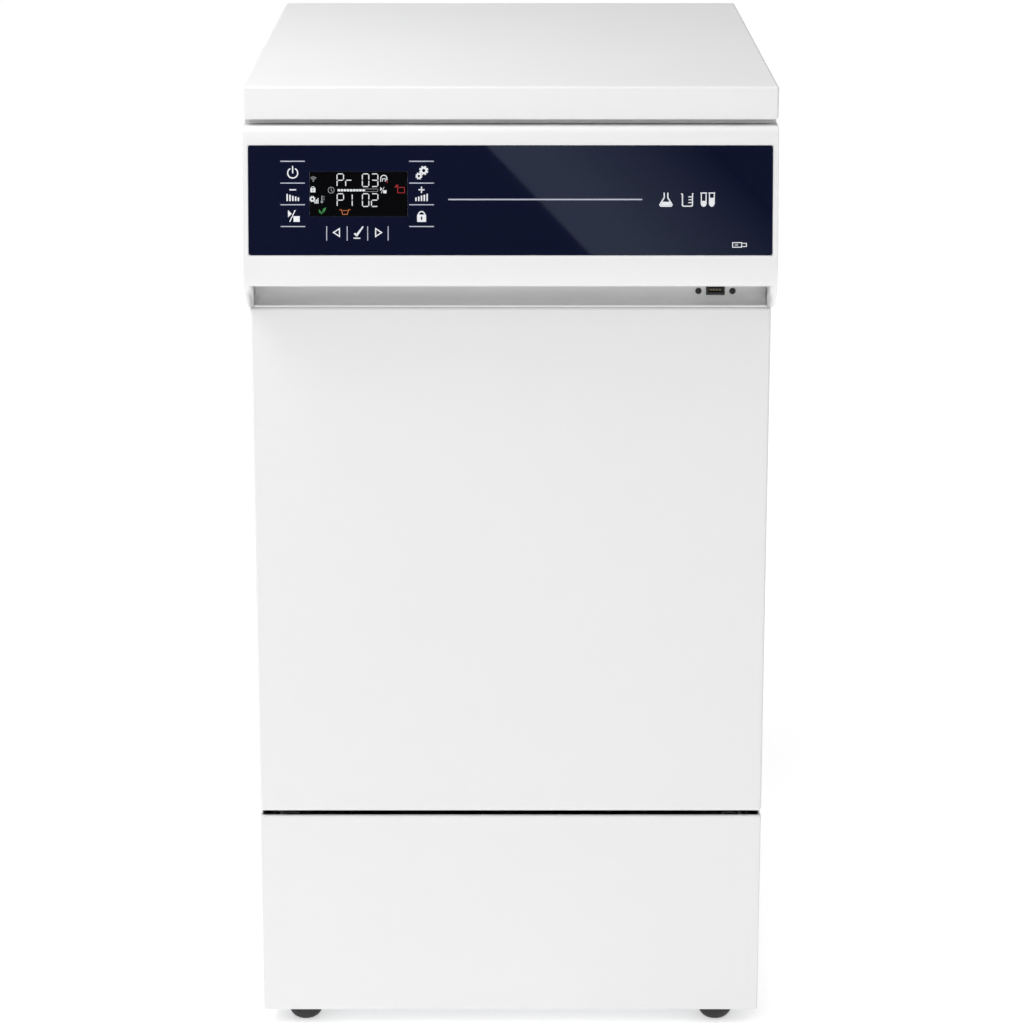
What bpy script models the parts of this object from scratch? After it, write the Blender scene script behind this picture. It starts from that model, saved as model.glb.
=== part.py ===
"""Under-counter laboratory glass washer with a drop-down door, as separate parts.

Metres, +Z up. Seen from the front +X is to the right, and the front faces -Y.
The origin is on the floor, at the middle of the overall box.
"""

import math

import bmesh
import bpy
from mathutils import Matrix, Vector

# Overall sizes
WORKTOP_WIDTH = 0.450
WORKTOP_DEPTH = 0.600
HEIGHT = 0.850
WORKTOP_THICKNESS = 0.028
WORKTOP_SIDE_OVERHANG = 0.0025
CONSOLE_BULGE = 0.032  # console front ahead of the door's outer face
WORKTOP_OVERHANG = 0.008  # worktop front edge ahead of the door's outer face

# Heights of the front
PLINTH_BOTTOM = 0.0145
PLINTH_TOP = 0.200
DOOR_GAP = 0.0045
DOOR_PANEL_TOP = 0.660
CONSOLE_LIP = 0.684
CONSOLE_TO_WORKTOP = 0.0050

# Sheet, clearances and fits
SHEET = 0.0012
LINER_SHEET = 0.001
SEAT_GAP = 0.0003  # between pieces that rest on each other
RUN_GAP = 0.0004  # around pieces that turn or slide
DOOR_DEPTH = 0.020  # folded sides of the door's outer panel
DOOR_TO_CABINET = 0.002

# Door hinge, measured from the outer face and the lower edge of the door
HINGE_BEHIND_FACE = 0.010
HINGE_BELOW_DOOR = 0.0165
HINGE_PIN_RADIUS = 0.003
HINGE_ARM_INSET = 0.0175  # from the body's side to the middle of the arm
HINGE_ARM_THICKNESS = 0.003

# Tub
TUB_TO_SIDE = 0.0235  # from the body's side to the tub's inner wall
TUB_FLOOR = 0.240
TUB_CEILING = 0.786
TUB_DEPTH = 0.516
TUB_FLANGE = 0.011
TUB_CORNER = 0.012
GASKET_THICKNESS = 0.0105

# Spray arms and racks
SPRAY_ARM_RADIUS = 0.170
SPRAY_ARM_THICKNESS = 0.012
LOWER_ARM_Z = 0.270
UPPER_ARM_Z = 0.470
RACK_WIRE = 0.0045
RACK_WIDTH = 0.356
RACK_LENGTH = 0.430
RACK_FRONT_GAP = 0.055  # from the door's inner face to the racks
LOWER_RACK_FLOOR = 0.300
LOWER_RACK_HEIGHT = 0.090
UPPER_RACK_FLOOR = 0.500
UPPER_RACK_HEIGHT = 0.095
WHEEL_RADIUS = 0.018
WHEEL_WIDTH = 0.008
FRONT_WHEEL_SETBACK = 0.160  # keeps the front wheels on the tub floor with the rack drawn out
REAR_WHEEL_SETBACK = 0.062

# Feet
FOOT_RADIUS = 0.0155
FOOT_INSET_X = 0.037  # from the body's side to the foot's axis
FOOT_INSET_Y = 0.023
FOOT_STUD_RADIUS = 0.004

# Places that follow from the sizes above
OVERALL_DEPTH = WORKTOP_DEPTH + CONSOLE_BULGE - WORKTOP_OVERHANG
FRONT_Y = -OVERALL_DEPTH / 2
REAR_Y = OVERALL_DEPTH / 2
DOOR_Y = FRONT_Y + CONSOLE_BULGE
BODY_X = WORKTOP_WIDTH / 2 - WORKTOP_SIDE_OVERHANG
HINGE_ARM_X = BODY_X - HINGE_ARM_INSET
WORKTOP_UNDERSIDE = HEIGHT - WORKTOP_THICKNESS
PANEL_TOP = WORKTOP_UNDERSIDE - SEAT_GAP
DOOR_BOTTOM = PLINTH_TOP + DOOR_GAP
DOOR_BACK_Y = DOOR_Y + DOOR_DEPTH
CABINET_Y = DOOR_BACK_Y + LINER_SHEET + DOOR_TO_CABINET
BODY_REAR_Y = REAR_Y - 0.008
SERVICE_Y = BODY_REAR_Y - 0.040
HINGE_Y = DOOR_Y + HINGE_BEHIND_FACE
HINGE_Z = DOOR_BOTTOM - HINGE_BELOW_DOOR
CONSOLE_TOP = WORKTOP_UNDERSIDE - CONSOLE_TO_WORKTOP
TUB_X = BODY_X - TUB_TO_SIDE
TUB_FRONT_Y = DOOR_BACK_Y + LINER_SHEET + GASKET_THICKNESS + 2 * SEAT_GAP
TUB_REAR_Y = TUB_FRONT_Y + TUB_DEPTH
TUB_MID_Y = (TUB_FRONT_Y + TUB_REAR_Y) / 2
LINER_BACK_Y = DOOR_BACK_Y + LINER_SHEET
RACK_FRONT_Y = LINER_BACK_Y + RACK_FRONT_GAP
RACK_REAR_Y = RACK_FRONT_Y + RACK_LENGTH
BASE_FLOOR = PLINTH_BOTTOM + 0.004

SIDES = (("left", -1), ("right", 1))
CIRCLE_STEPS = 24

PARTS = None
CUTTERS = None


# ---------------------------------------------------------------- scene and materials
def clear_scene():
    for obj in list(bpy.data.objects):
        bpy.data.objects.remove(obj, do_unlink=True)


def add_collection(name):
    collection = bpy.data.collections.new(name)
    bpy.context.scene.collection.children.link(collection)
    return collection


def material(name, colour, roughness, metallic=0.0):
    made = bpy.data.materials.new(name)
    made.use_nodes = True
    shader = made.node_tree.nodes["Principled BSDF"]
    shader.inputs["Base Color"].default_value = (*colour, 1.0)
    shader.inputs["Roughness"].default_value = roughness
    shader.inputs["Metallic"].default_value = metallic
    made.diffuse_color = (*colour, 1.0)
    return made


def make_materials():
    return {
        "white_enamel": material("white_enamel", (0.86, 0.86, 0.86), 0.35),
        "white_plastic": material("white_plastic", (0.84, 0.84, 0.84), 0.4),
        "navy_film": material("navy_film", (0.010, 0.014, 0.045), 0.2),
        "display_lens": material("display_lens", (0.004, 0.004, 0.005), 0.12),
        "stainless": material("stainless", (0.62, 0.62, 0.60), 0.3, 1.0),
        "galvanised": material("galvanised", (0.55, 0.56, 0.57), 0.45, 1.0),
        "spring_steel": material("spring_steel", (0.45, 0.45, 0.46), 0.35, 1.0),
        "black_plastic": material("black_plastic", (0.015, 0.015, 0.016), 0.5),
        "grey_plastic": material("grey_plastic", (0.33, 0.34, 0.36), 0.5),
        "rubber": material("rubber", (0.03, 0.03, 0.032), 0.7),
        "circuit_board": material("circuit_board", (0.02, 0.16, 0.06), 0.5),
        "blue_plastic": material("blue_plastic", (0.05, 0.22, 0.55), 0.4),
    }


# ---------------------------------------------------------------- modelling helpers
def add_object(name, mesh, finish, location=(0, 0, 0)):
    obj = bpy.data.objects.new(name, mesh)
    obj.location = location
    if finish is None:
        CUTTERS.objects.link(obj)
        obj.hide_render = True
        obj.display_type = "WIRE"
    else:
        mesh.materials.append(finish)
        PARTS.objects.link(obj)
    return obj


def mesh_of(name, shape):
    """A mesh datablock from a bmesh, with its normals facing out."""
    bmesh.ops.recalc_face_normals(shape, faces=shape.faces)
    mesh = bpy.data.meshes.new(name)
    shape.to_mesh(mesh)
    shape.free()
    return mesh


def smooth(obj, degrees=35):
    obj.data.shade_smooth()
    obj.data.set_sharp_from_angle(angle=math.radians(degrees))
    return obj


def box(name, low, high, finish, open_faces=()):
    """A box between two corners. open_faces lists the outward directions whose faces are left out."""
    low, high = Vector(low), Vector(high)
    shape = bmesh.new()
    bmesh.ops.create_cube(shape, size=1.0)
    bmesh.ops.scale(shape, vec=high - low, verts=shape.verts)
    shape.normal_update()
    gone = [f for f in shape.faces if any(f.normal.dot(Vector(d)) > 0.9 for d in open_faces)]
    bmesh.ops.delete(shape, geom=gone, context="FACES")
    mesh = bpy.data.meshes.new(name)
    shape.to_mesh(mesh)
    shape.free()
    return add_object(name, mesh, finish, (low + high) / 2)


def modifier(obj, kind, **settings):
    made = obj.modifiers.new(kind.title(), kind)
    for key, value in settings.items():
        setattr(made, key, value)
    return made


def bevel(obj, width, segments=2, degrees=50):
    return modifier(
        obj, "BEVEL", width=width, segments=segments, limit_method="ANGLE", angle_limit=math.radians(degrees)
    )


def solidify(obj, thickness, offset=-1):
    return modifier(obj, "SOLIDIFY", thickness=thickness, offset=offset, use_even_offset=True)


def cut(obj, cutter, operation="DIFFERENCE"):
    return modifier(obj, "BOOLEAN", object=cutter, operation=operation, solver="EXACT")


def cylinder(name, start, end, radius, finish, steps=CIRCLE_STEPS):
    """A cylinder, or with two radii a cone, along the line from start to end."""
    start, end = Vector(start), Vector(end)
    first, last = radius if isinstance(radius, tuple) else (radius, radius)
    shape = bmesh.new()
    bmesh.ops.create_cone(
        shape, cap_ends=True, segments=steps, radius1=first, radius2=last, depth=(end - start).length
    )
    turn = (end - start).to_track_quat("Z", "Y").to_matrix().to_4x4()
    bmesh.ops.transform(shape, matrix=turn, verts=shape.verts)
    obj = add_object(name, mesh_of(name, shape), finish, (start + end) / 2)
    return smooth(obj)


def turned(name, profile, centre, finish, steps=CIRCLE_STEPS, closed=False):
    """A profile of (radius, height) points turned about Z. It runs down its outer side."""
    mesh = bpy.data.meshes.new(name)
    count = len(profile)
    edges = [(i, i + 1) for i in range(count - 1)] + ([(count - 1, 0)] if closed else [])
    mesh.from_pydata([(r, 0, z) for r, z in profile], edges, [])
    obj = add_object(name, mesh, finish, centre)
    modifier(
        obj,
        "SCREW",
        steps=steps,
        render_steps=steps,
        use_merge_vertices=True,
        merge_threshold=0.00001,
        use_smooth_shade=True,
    )
    return obj


def outline_mesh(name, outlines, thickness):
    """Flat outlines in XY, the first one outside and the rest holes, as a plate about Z = 0."""
    curve = bpy.data.curves.new(name, "CURVE")
    curve.dimensions = "2D"
    curve.fill_mode = "BOTH"
    curve.extrude = thickness / 2
    for points in outlines:
        spline = curve.splines.new("POLY")
        spline.points.add(len(points) - 1)
        for point, (x, y) in zip(spline.points, points):
            point.co = (x, y, 0, 1)
        spline.use_cyclic_u = True
    return settled_mesh(name, curve)


def settled_mesh(name, curve):
    """The evaluated mesh of a curve, with its caps welded to its sides."""
    helper = bpy.data.objects.new(name + "_curve", curve)
    bpy.context.scene.collection.objects.link(helper)
    graph = bpy.context.evaluated_depsgraph_get()
    mesh = bpy.data.meshes.new_from_object(helper.evaluated_get(graph))
    bpy.data.objects.remove(helper)
    mesh.name = name
    mesh.materials.clear()
    shape = bmesh.new()
    shape.from_mesh(mesh)
    bmesh.ops.remove_doubles(shape, verts=shape.verts, dist=0.00001)
    bmesh.ops.recalc_face_normals(shape, faces=shape.faces)
    shape.to_mesh(mesh)
    shape.free()
    return mesh


def lofted(name, rings, finish):
    """A closed shell through rings of points that match one another, capped at both ends."""
    shape = bmesh.new()
    loops = [[shape.verts.new(point) for point in ring] for ring in rings]
    for ring, following in zip(loops, loops[1:]):
        for i in range(len(ring)):
            j = (i + 1) % len(ring)
            shape.faces.new((ring[i], ring[j], following[j], following[i]))
    shape.faces.new(loops[0][::-1])
    shape.faces.new(loops[-1])
    return smooth(add_object(name, mesh_of(name, shape), finish))


# Plate axes to world axes: a plate drawn in (y, z) lies across X, and one drawn in (x, z) across Y.
ACROSS_X = Matrix(((0, 0, 1, 0), (1, 0, 0, 0), (0, 1, 0, 0), (0, 0, 0, 1)))
ACROSS_Y = Matrix(((1, 0, 0, 0), (0, 0, -1, 0), (0, 1, 0, 0), (0, 0, 0, 1)))
ACROSS_Z = Matrix.Identity(4)


def plate(name, outlines, thickness, centre, finish, across=ACROSS_Z):
    """Outlines drawn about the object's own origin, which is put at centre."""
    mesh = outline_mesh(name, outlines, thickness)
    mesh.transform(across)
    return add_object(name, mesh, finish, centre)


def folded_sheet(name, path, low, high, finish, thickness=SHEET, offset=-1, across=ACROSS_Z):
    """A sheet bent along a path drawn in the plate's own plane, from low to high across it."""
    shape = bmesh.new()
    points = [shape.verts.new((x, y, low)) for x, y in path]
    edges = [shape.edges.new(pair) for pair in zip(points, points[1:])]
    made = bmesh.ops.extrude_edge_only(shape, edges=edges)["geom"]
    moved = [v for v in made if isinstance(v, bmesh.types.BMVert)]
    bmesh.ops.translate(shape, vec=(0, 0, high - low), verts=moved)
    mesh = bpy.data.meshes.new(name)
    shape.to_mesh(mesh)
    shape.free()
    mesh.transform(across)
    obj = add_object(name, mesh, finish)
    solidify(obj, thickness, offset)
    return obj


def arc(centre, radius, start, end, steps):
    """Points on an arc, angles in degrees, both ends included."""
    angles = [math.radians(start + (end - start) * i / steps) for i in range(steps + 1)]
    return [(centre[0] + radius * math.cos(a), centre[1] + radius * math.sin(a)) for a in angles]


def rounded_rectangle(low, high, radius, steps=3):
    """Outline of a rectangle with round corners, counter-clockwise."""
    corners = (
        ((high[0] - radius, high[1] - radius), 0),
        ((low[0] + radius, high[1] - radius), 90),
        ((low[0] + radius, low[1] + radius), 180),
        ((high[0] - radius, low[1] + radius), 270),
    )
    return [p for centre, start in corners for p in arc(centre, radius, start, start + 90, steps)]


def tube(name, points, radius, finish, sides=8, cyclic=False):
    """A round bar or pipe along points, as a mesh so that it can be cut or joined."""
    curve = bpy.data.curves.new(name, "CURVE")
    curve.dimensions = "3D"
    curve.bevel_depth = radius
    curve.bevel_resolution = (sides - 4) // 2
    curve.use_fill_caps = not cyclic
    spline = curve.splines.new("POLY")
    spline.points.add(len(points) - 1)
    for point, place in zip(spline.points, points):
        point.co = (*place, 1)
    spline.use_cyclic_u = cyclic
    obj = add_object(name, settled_mesh(name, curve), finish)
    return smooth(obj, 50)


# ---------------------------------------------------------------- cabinet
# A lip under the worktop closes the gap above the console
LIP_INSET = 0.0015
LIP_BEHIND_DOOR_FACE = 0.0010
LIP_THICKNESS = 0.0030
LIP_TO_CONSOLE = 0.0008


def make_worktop(m):
    top = box(
        "worktop",
        (-WORKTOP_WIDTH / 2, REAR_Y - WORKTOP_DEPTH, WORKTOP_UNDERSIDE),
        (WORKTOP_WIDTH / 2, REAR_Y, HEIGHT),
        m["white_enamel"],
    )
    bevel(top, 0.0022, 3)
    lip = box(
        "worktop_lip",
        (-WORKTOP_WIDTH / 2 + LIP_INSET, DOOR_Y + LIP_BEHIND_DOOR_FACE, CONSOLE_TOP + LIP_TO_CONSOLE),
        (
            WORKTOP_WIDTH / 2 - LIP_INSET,
            DOOR_Y + LIP_BEHIND_DOOR_FACE + LIP_THICKNESS,
            WORKTOP_UNDERSIDE + 0.004,
        ),
        None,
    )
    cut(top, lip, "UNION")
    smooth(top)


SIDE_FLANGE = 0.012


def make_side_panels(m):
    bottom = BASE_FLOOR + 0.001
    for name, side in SIDES:
        path = [
            (side * (BODY_X - SIDE_FLANGE), CABINET_Y),
            (side * BODY_X, CABINET_Y),
            (side * BODY_X, BODY_REAR_Y),
            (side * (BODY_X - SIDE_FLANGE), BODY_REAR_Y),
        ]
        panel = folded_sheet(
            "side_panel_" + name, path, bottom, PANEL_TOP, m["white_enamel"], offset=side
        )
        # The front flange stops above the hinge's swing.
        relief_top = TUB_FLOOR - TUB_FLANGE
        relief = box(
            "side_relief_" + name,
            (min(side * (BODY_X - 0.002), side * 0.150), CABINET_Y - 0.010, bottom - 0.010),
            (max(side * (BODY_X - 0.002), side * 0.150), CABINET_Y + 0.005, relief_top),
            None,
        )
        cut(panel, relief)


REAR_PANEL_BOTTOM = 0.190


def make_rear_panel(m):
    half = BODY_X - SIDE_FLANGE - 0.001
    panel = box(
        "rear_panel",
        (-half, BODY_REAR_Y - 0.010, REAR_PANEL_BOTTOM),
        (half, BODY_REAR_Y, PANEL_TOP),
        m["galvanised"],
        open_faces=[(0, -1, 0)],
    )
    solidify(panel, SHEET)
    slot_count, slot_pitch = 6, 0.016
    for i in range(slot_count):
        z = 0.235 + i * slot_pitch
        slot = box(
            f"vent_slot_{i}", (-0.070, BODY_REAR_Y - 0.004, z), (0.070, BODY_REAR_Y + 0.004, z + 0.005), None
        )
        cut(panel, slot)


INLET_X, DRAIN_X, GLAND_X = 0.130, 0.060, -0.140
SERVICE_Z = 0.120
INLET_RADIUS, DRAIN_RADIUS, GLAND_RADIUS = 0.0125, 0.0105, 0.0100
INLET_BORE = 0.0095
VALVE_COIL_RADIUS = 0.013
CABLE_RADIUS = 0.0055
HOLE_CLEARANCE = 0.0005


def make_service_plate(m):
    half = BODY_X - SHEET - 0.001
    plate_bottom = BASE_FLOOR + 0.002
    outlines = [rounded_rectangle((-half, plate_bottom), (half, REAR_PANEL_BOTTOM - 0.001), 0.002)]
    for x, radius in ((INLET_X, INLET_RADIUS), (DRAIN_X, DRAIN_RADIUS), (GLAND_X, GLAND_RADIUS)):
        outlines.append(arc((x, SERVICE_Z), radius + HOLE_CLEARANCE, 0, 345, 23))
    plate("rear_service_plate", outlines, SHEET, (0, SERVICE_Y, 0), m["galvanised"], ACROSS_Y)


def foot_places():
    x = BODY_X - FOOT_INSET_X
    front, rear = DOOR_Y + FOOT_INSET_Y, SERVICE_Y - 0.030
    return {
        "front_left": (-x, front),
        "front_right": (x, front),
        "rear_left": (-x, rear),
        "rear_right": (x, rear),
    }


TRAY_WALL = 0.028


def make_base_tray(m):
    half = BODY_X - SHEET - 0.001
    tray = box(
        "base_tray",
        (-half, DOOR_Y + 0.006, BASE_FLOOR),
        (half, SERVICE_Y - SHEET, BASE_FLOOR + TRAY_WALL),
        m["galvanised"],
        open_faces=[(0, 0, 1)],
    )
    solidify(tray, SHEET)
    for name, (x, y) in foot_places().items():
        hole = cylinder(
            "foot_hole_" + name,
            (x, y, BASE_FLOOR - 0.010),
            (x, y, BASE_FLOOR + 0.010),
            FOOT_STUD_RADIUS + RUN_GAP,
            None,
        )
        cut(tray, hole)


def make_feet(m):
    """A black pad turned with its hexagon and threaded stud, standing on the floor."""
    top = BASE_FLOOR - 0.001
    profile = [
        (0, BASE_FLOOR + 0.022),
        (FOOT_STUD_RADIUS, BASE_FLOOR + 0.022),
        (FOOT_STUD_RADIUS, top),
        (0.0075, top),
        (0.0075, top - 0.003),
        (FOOT_RADIUS * 0.90, top - 0.0035),
        (FOOT_RADIUS, top - 0.0065),
        (FOOT_RADIUS, 0.0070),
        (FOOT_RADIUS * 0.93, 0.0038),
        (FOOT_RADIUS * 0.78, 0.0012),
        (FOOT_RADIUS * 0.60, 0),
        (0, 0),
    ]
    for name, (x, y) in foot_places().items():
        smooth(turned("foot_" + name, profile, (x, y, 0), m["rubber"], steps=20))


PLINTH_LEDGE = 0.004  # depth of the folded top and bottom edges


def make_plinth(m):
    """Front sheet whose sides fold back to the side panels, with short folds above and below."""
    back_y = CABINET_Y - SEAT_GAP
    panel = box(
        "plinth_panel",
        (-BODY_X, DOOR_Y, PLINTH_BOTTOM),
        (BODY_X, back_y, PLINTH_TOP),
        m["white_enamel"],
        open_faces=[(0, 1, 0)],
    )
    bevel(panel, 0.0015, 2)
    solidify(panel, SHEET)
    inside_x = BODY_X - SHEET - 0.0008
    for name, low, high in (
        ("plinth_top_room", PLINTH_TOP - 0.010, PLINTH_TOP + 0.010),
        ("plinth_bottom_room", PLINTH_BOTTOM - 0.010, PLINTH_BOTTOM + 0.010),
    ):
        room = box(name, (-inside_x, DOOR_Y + PLINTH_LEDGE, low), (inside_x, back_y + 0.010, high), None)
        cut(panel, room)
    smooth(panel)


# ---------------------------------------------------------------- hinge
def hinge_point(forward, up):
    """(y, z) from the hinge's axis of a point given as distances forward and up."""
    return (-forward, up)


SPRING_LEVER = 0.035
SPRING_X = 0.1955
SPRING_RADIUS = 0.0055
SPRING_WIRE = 0.0011
SPRING_FOOT_Z = BASE_FLOOR + SHEET + 0.0020
BOSS_RADIUS = 0.0068


def hinge_arm_outline():
    """Goose-neck plate: a boss on the axis, a neck behind the plinth's edge, and a leg in the door."""
    neck = [
        (-0.0135, 0.0040),
        (-0.0135, 0.0105),
        (-0.0110, 0.0160),
        (-0.0110, 0.0190),
        (0.0070, 0.0245),
        (0.0070, 0.1100),
        (-0.0080, 0.1100),
        (-0.0080, 0.0370),
        (-0.0290, 0.0100),
        (-0.0400, 0.0050),
        (-0.0400, -0.0065),
    ]
    boss = arc((0, 0), BOSS_RADIUS, -100, 110, 9)
    return [hinge_point(f, u) for f, u in boss + neck]


def make_hinges(m):
    for name, side in SIDES:
        arm_x = side * HINGE_ARM_X
        pin_hole = arc((0, 0), HINGE_PIN_RADIUS + 0.0002, 0, 345, 23)
        arm = plate(
            "hinge_arm_" + name,
            [hinge_arm_outline(), pin_hole],
            HINGE_ARM_THICKNESS,
            (arm_x, HINGE_Y, HINGE_Z),
            m["galvanised"],
            ACROSS_X,
        )
        # The spring hooks on this stub, which is riveted to the lever.
        lever_y, lever_z = HINGE_Y + SPRING_LEVER, HINGE_Z - 0.001
        stub = cylinder(
            "spring_stub_" + name,
            (arm_x - side * 0.0010, lever_y, lever_z),
            (side * (SPRING_X - SPRING_RADIUS), lever_y, lever_z),
            0.0025,
            None,
            12,
        )
        cut(arm, stub, "UNION")
        make_hinge_frame(name, side, m)
        make_door_spring(name, side, lever_z - 0.0025, m)


FRAME_X = BODY_X - 0.0115
FRAME_SHEET = 0.002


def make_hinge_frame(name, side, m):
    """Upright plate on the base tray, with the hinge's pin riveted to it and a foot under the spring."""
    frame_front, frame_rear = DOOR_Y + 0.0080, DOOR_Y + 0.110
    foot_z = BASE_FLOOR + SHEET + SEAT_GAP
    outline = [
        (frame_front + 0.012, foot_z),
        (frame_rear, foot_z),
        (frame_rear, HINGE_Z - 0.030),
        (HINGE_Y + 0.030, HINGE_Z + 0.0065),
        (HINGE_Y - 0.0005, HINGE_Z + 0.0065),
        (frame_front - 0.0045, HINGE_Z + 0.002),
        (frame_front - 0.0045, HINGE_Z - 0.020),
        (frame_front + 0.012, HINGE_Z - 0.060),
    ]
    frame = plate(
        "hinge_frame_" + name, [outline], FRAME_SHEET, (side * FRAME_X, 0, 0), m["galvanised"], ACROSS_X
    )
    pin = cylinder(
        "hinge_pin_" + name,
        (side * (HINGE_ARM_X - 0.004), HINGE_Y, HINGE_Z),
        (side * (FRAME_X + 0.0005), HINGE_Y, HINGE_Z),
        HINGE_PIN_RADIUS,
        None,
    )
    cut(frame, pin, "UNION")
    inner = SPRING_X - SPRING_RADIUS
    foot = box(
        "spring_seat_" + name,
        (min(side * inner, side * (FRAME_X + 0.0005)), DOOR_Y + 0.030, foot_z),
        (max(side * inner, side * (FRAME_X + 0.0005)), frame_rear - 0.005, SPRING_FOOT_Z),
        None,
    )
    cut(frame, foot, "UNION")


def make_door_spring(name, side, top, m):
    """Extension spring that holds the door's weight, between the seat and the arm's lever."""
    turns, points_per_turn = 11, 7
    low, high = SPRING_FOOT_Z + SPRING_WIRE + SEAT_GAP, top - SPRING_WIRE - SEAT_GAP
    total = turns * points_per_turn
    mean = SPRING_RADIUS - SPRING_WIRE
    points = []
    for i in range(total + 1):
        angle = 2 * math.pi * i / points_per_turn
        points.append(
            (
                side * SPRING_X + mean * math.cos(angle),
                HINGE_Y + SPRING_LEVER + mean * math.sin(angle),
                low + (high - low) * i / total,
            )
        )
    tube("door_spring_" + name, points, SPRING_WIRE, m["spring_steel"], sides=6)


# ---------------------------------------------------------------- tub and hydraulics
SUMP_RADIUS = 0.084
SUMP_DEPTH = 0.075
HUB_RADIUS = 0.012
FILTER_RADIUS = 0.024
FILTER_OFFSET = (0.044, -0.006)
PIPE_RADIUS = 0.008
PIPE_Y = 0.018  # pipe centre in front of the tub's rear wall


def tub_ring(margin, y):
    """Points round the tub's section, this far outside its inner faces, at depth y."""
    low, high = (-TUB_X - margin, TUB_FLOOR - margin), (TUB_X + margin, TUB_CEILING + margin)
    return [(x, y, z) for x, z in rounded_rectangle(low, high, TUB_CORNER + max(margin, 0) * 0.5, 4)]


def make_tub(m):
    rings = [
        tub_ring(0, TUB_REAR_Y),
        tub_ring(0, TUB_FRONT_Y),
        tub_ring(TUB_FLANGE, TUB_FRONT_Y),
        tub_ring(TUB_FLANGE, TUB_FRONT_Y + LINER_SHEET),
        tub_ring(LINER_SHEET, TUB_FRONT_Y + LINER_SHEET),
        tub_ring(LINER_SHEET, TUB_REAR_Y + LINER_SHEET),
    ]
    tub = lofted("tub", rings, m["stainless"])
    hole = cylinder(
        "sump_hole",
        (0, TUB_MID_Y, TUB_FLOOR - 0.020),
        (0, TUB_MID_Y, TUB_FLOOR + 0.020),
        SUMP_RADIUS - 0.006,
        None,
        32,
    )
    cut(tub, hole)
    return tub


def make_gasket(m):
    """Rubber ring between the tub's flange and the door's liner."""
    outlines = [[(x, z) for x, _, z in tub_ring(margin, 0)] for margin in (TUB_FLANGE - 0.001, 0.0005)]
    middle_y = TUB_FRONT_Y - SEAT_GAP - GASKET_THICKNESS / 2
    plate("tub_gasket", outlines, GASKET_THICKNESS, (0, middle_y, 0), m["rubber"], ACROSS_Y)


def make_sump(m):
    top = TUB_FLOOR - LINER_SHEET - SEAT_GAP
    wall = 0.003
    profile = [
        (SUMP_RADIUS - wall, top),
        (SUMP_RADIUS, top),
        (SUMP_RADIUS, top - 0.030),
        (SUMP_RADIUS * 0.62, top - SUMP_DEPTH),
        (0, top - SUMP_DEPTH),
        (0, top - SUMP_DEPTH + wall),
        (SUMP_RADIUS * 0.62 - wall, top - SUMP_DEPTH + wall),
        (SUMP_RADIUS - wall, top - 0.030),
    ]
    smooth(turned("sump", profile, (0, TUB_MID_Y, 0), m["grey_plastic"], steps=28, closed=True))


FILTER_PLATE_Z = TUB_FLOOR + SEAT_GAP


def make_filters(m):
    steps = 27
    plate_thickness = 0.0015
    outlines = [
        arc((0, 0), SUMP_RADIUS, 0, 350, 35),
        arc((0, 0), HUB_RADIUS + RUN_GAP, 0, 345, 23),
        arc(FILTER_OFFSET, FILTER_RADIUS + RUN_GAP, 0, 360 - 360 / (steps + 1), steps),
    ]
    plate(
        "filter_plate",
        outlines,
        plate_thickness,
        (0, TUB_MID_Y, FILTER_PLATE_Z + plate_thickness / 2),
        m["stainless"],
    )
    top = FILTER_PLATE_Z + plate_thickness
    wall = 0.0015
    cup_bottom = top - 0.030
    profile = [
        (FILTER_RADIUS - wall, top + 0.004),
        (FILTER_RADIUS, top + 0.004),
        (FILTER_RADIUS, cup_bottom),
        (0, cup_bottom),
        (0, cup_bottom + wall),
        (FILTER_RADIUS - wall, cup_bottom + wall),
    ]
    place = (FILTER_OFFSET[0], TUB_MID_Y + FILTER_OFFSET[1], 0)
    cup = smooth(turned("filter_cup", profile, place, m["grey_plastic"], steps=24, closed=True))
    grip = box(
        "filter_grip",
        (place[0] - FILTER_RADIUS + 0.0005, place[1] - 0.0015, top - 0.004),
        (place[0] + FILTER_RADIUS - 0.0005, place[1] + 0.0015, top + 0.0035),
        None,
    )
    cut(cup, grip, "UNION")


def make_spray_hub(m):
    """Standing pipe from the sump with a journal for the lower arm and a cap above it."""
    low = TUB_FLOOR - 0.055
    journal = 0.0080
    arm_low, arm_high = LOWER_ARM_Z, LOWER_ARM_Z + SPRAY_ARM_THICKNESS
    profile = [
        (0, arm_high + 0.006),
        (0.0100, arm_high + 0.006),
        (0.0120, arm_high + 0.004),
        (0.0120, arm_high + RUN_GAP),
        (journal, arm_high + RUN_GAP),
        (journal, arm_low - RUN_GAP),
        (HUB_RADIUS, arm_low - RUN_GAP),
        (HUB_RADIUS, low),
        (0, low),
    ]
    smooth(turned("spray_hub", profile, (0, TUB_MID_Y, 0), m["grey_plastic"]))


def arm_outline(length, root, tip):
    """Two-bladed spray arm seen from above, with round tips."""
    blade = arc((length - tip, 0), tip, -80, 80, 5)
    blade += [(root * 1.3, root), (0, root * 1.15), (-root * 1.3, root)]
    other = [(-x, -y) for x, y in arc((length - tip, 0), tip, -80, 80, 5)]
    return blade + other + [(-root * 1.3, -root), (0, -root * 1.15), (root * 1.3, -root)]


def make_spray_arm(name, base_z, bore, m):
    hole = arc((0, 0), bore, 0, 345, 23)
    arm = plate(
        name,
        [arm_outline(SPRAY_ARM_RADIUS, 0.021, 0.013), hole],
        SPRAY_ARM_THICKNESS,
        (0, TUB_MID_Y, base_z + SPRAY_ARM_THICKNESS / 2),
        m["grey_plastic"],
    )
    bevel(arm, 0.0025, 2, 60)
    return arm


def make_spray_arms(m):
    make_spray_arm("lower_spray_arm", LOWER_ARM_Z, 0.0080 + RUN_GAP, m)
    make_spray_arm("upper_spray_arm", UPPER_ARM_Z, 0.0070 + RUN_GAP, m)


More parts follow.
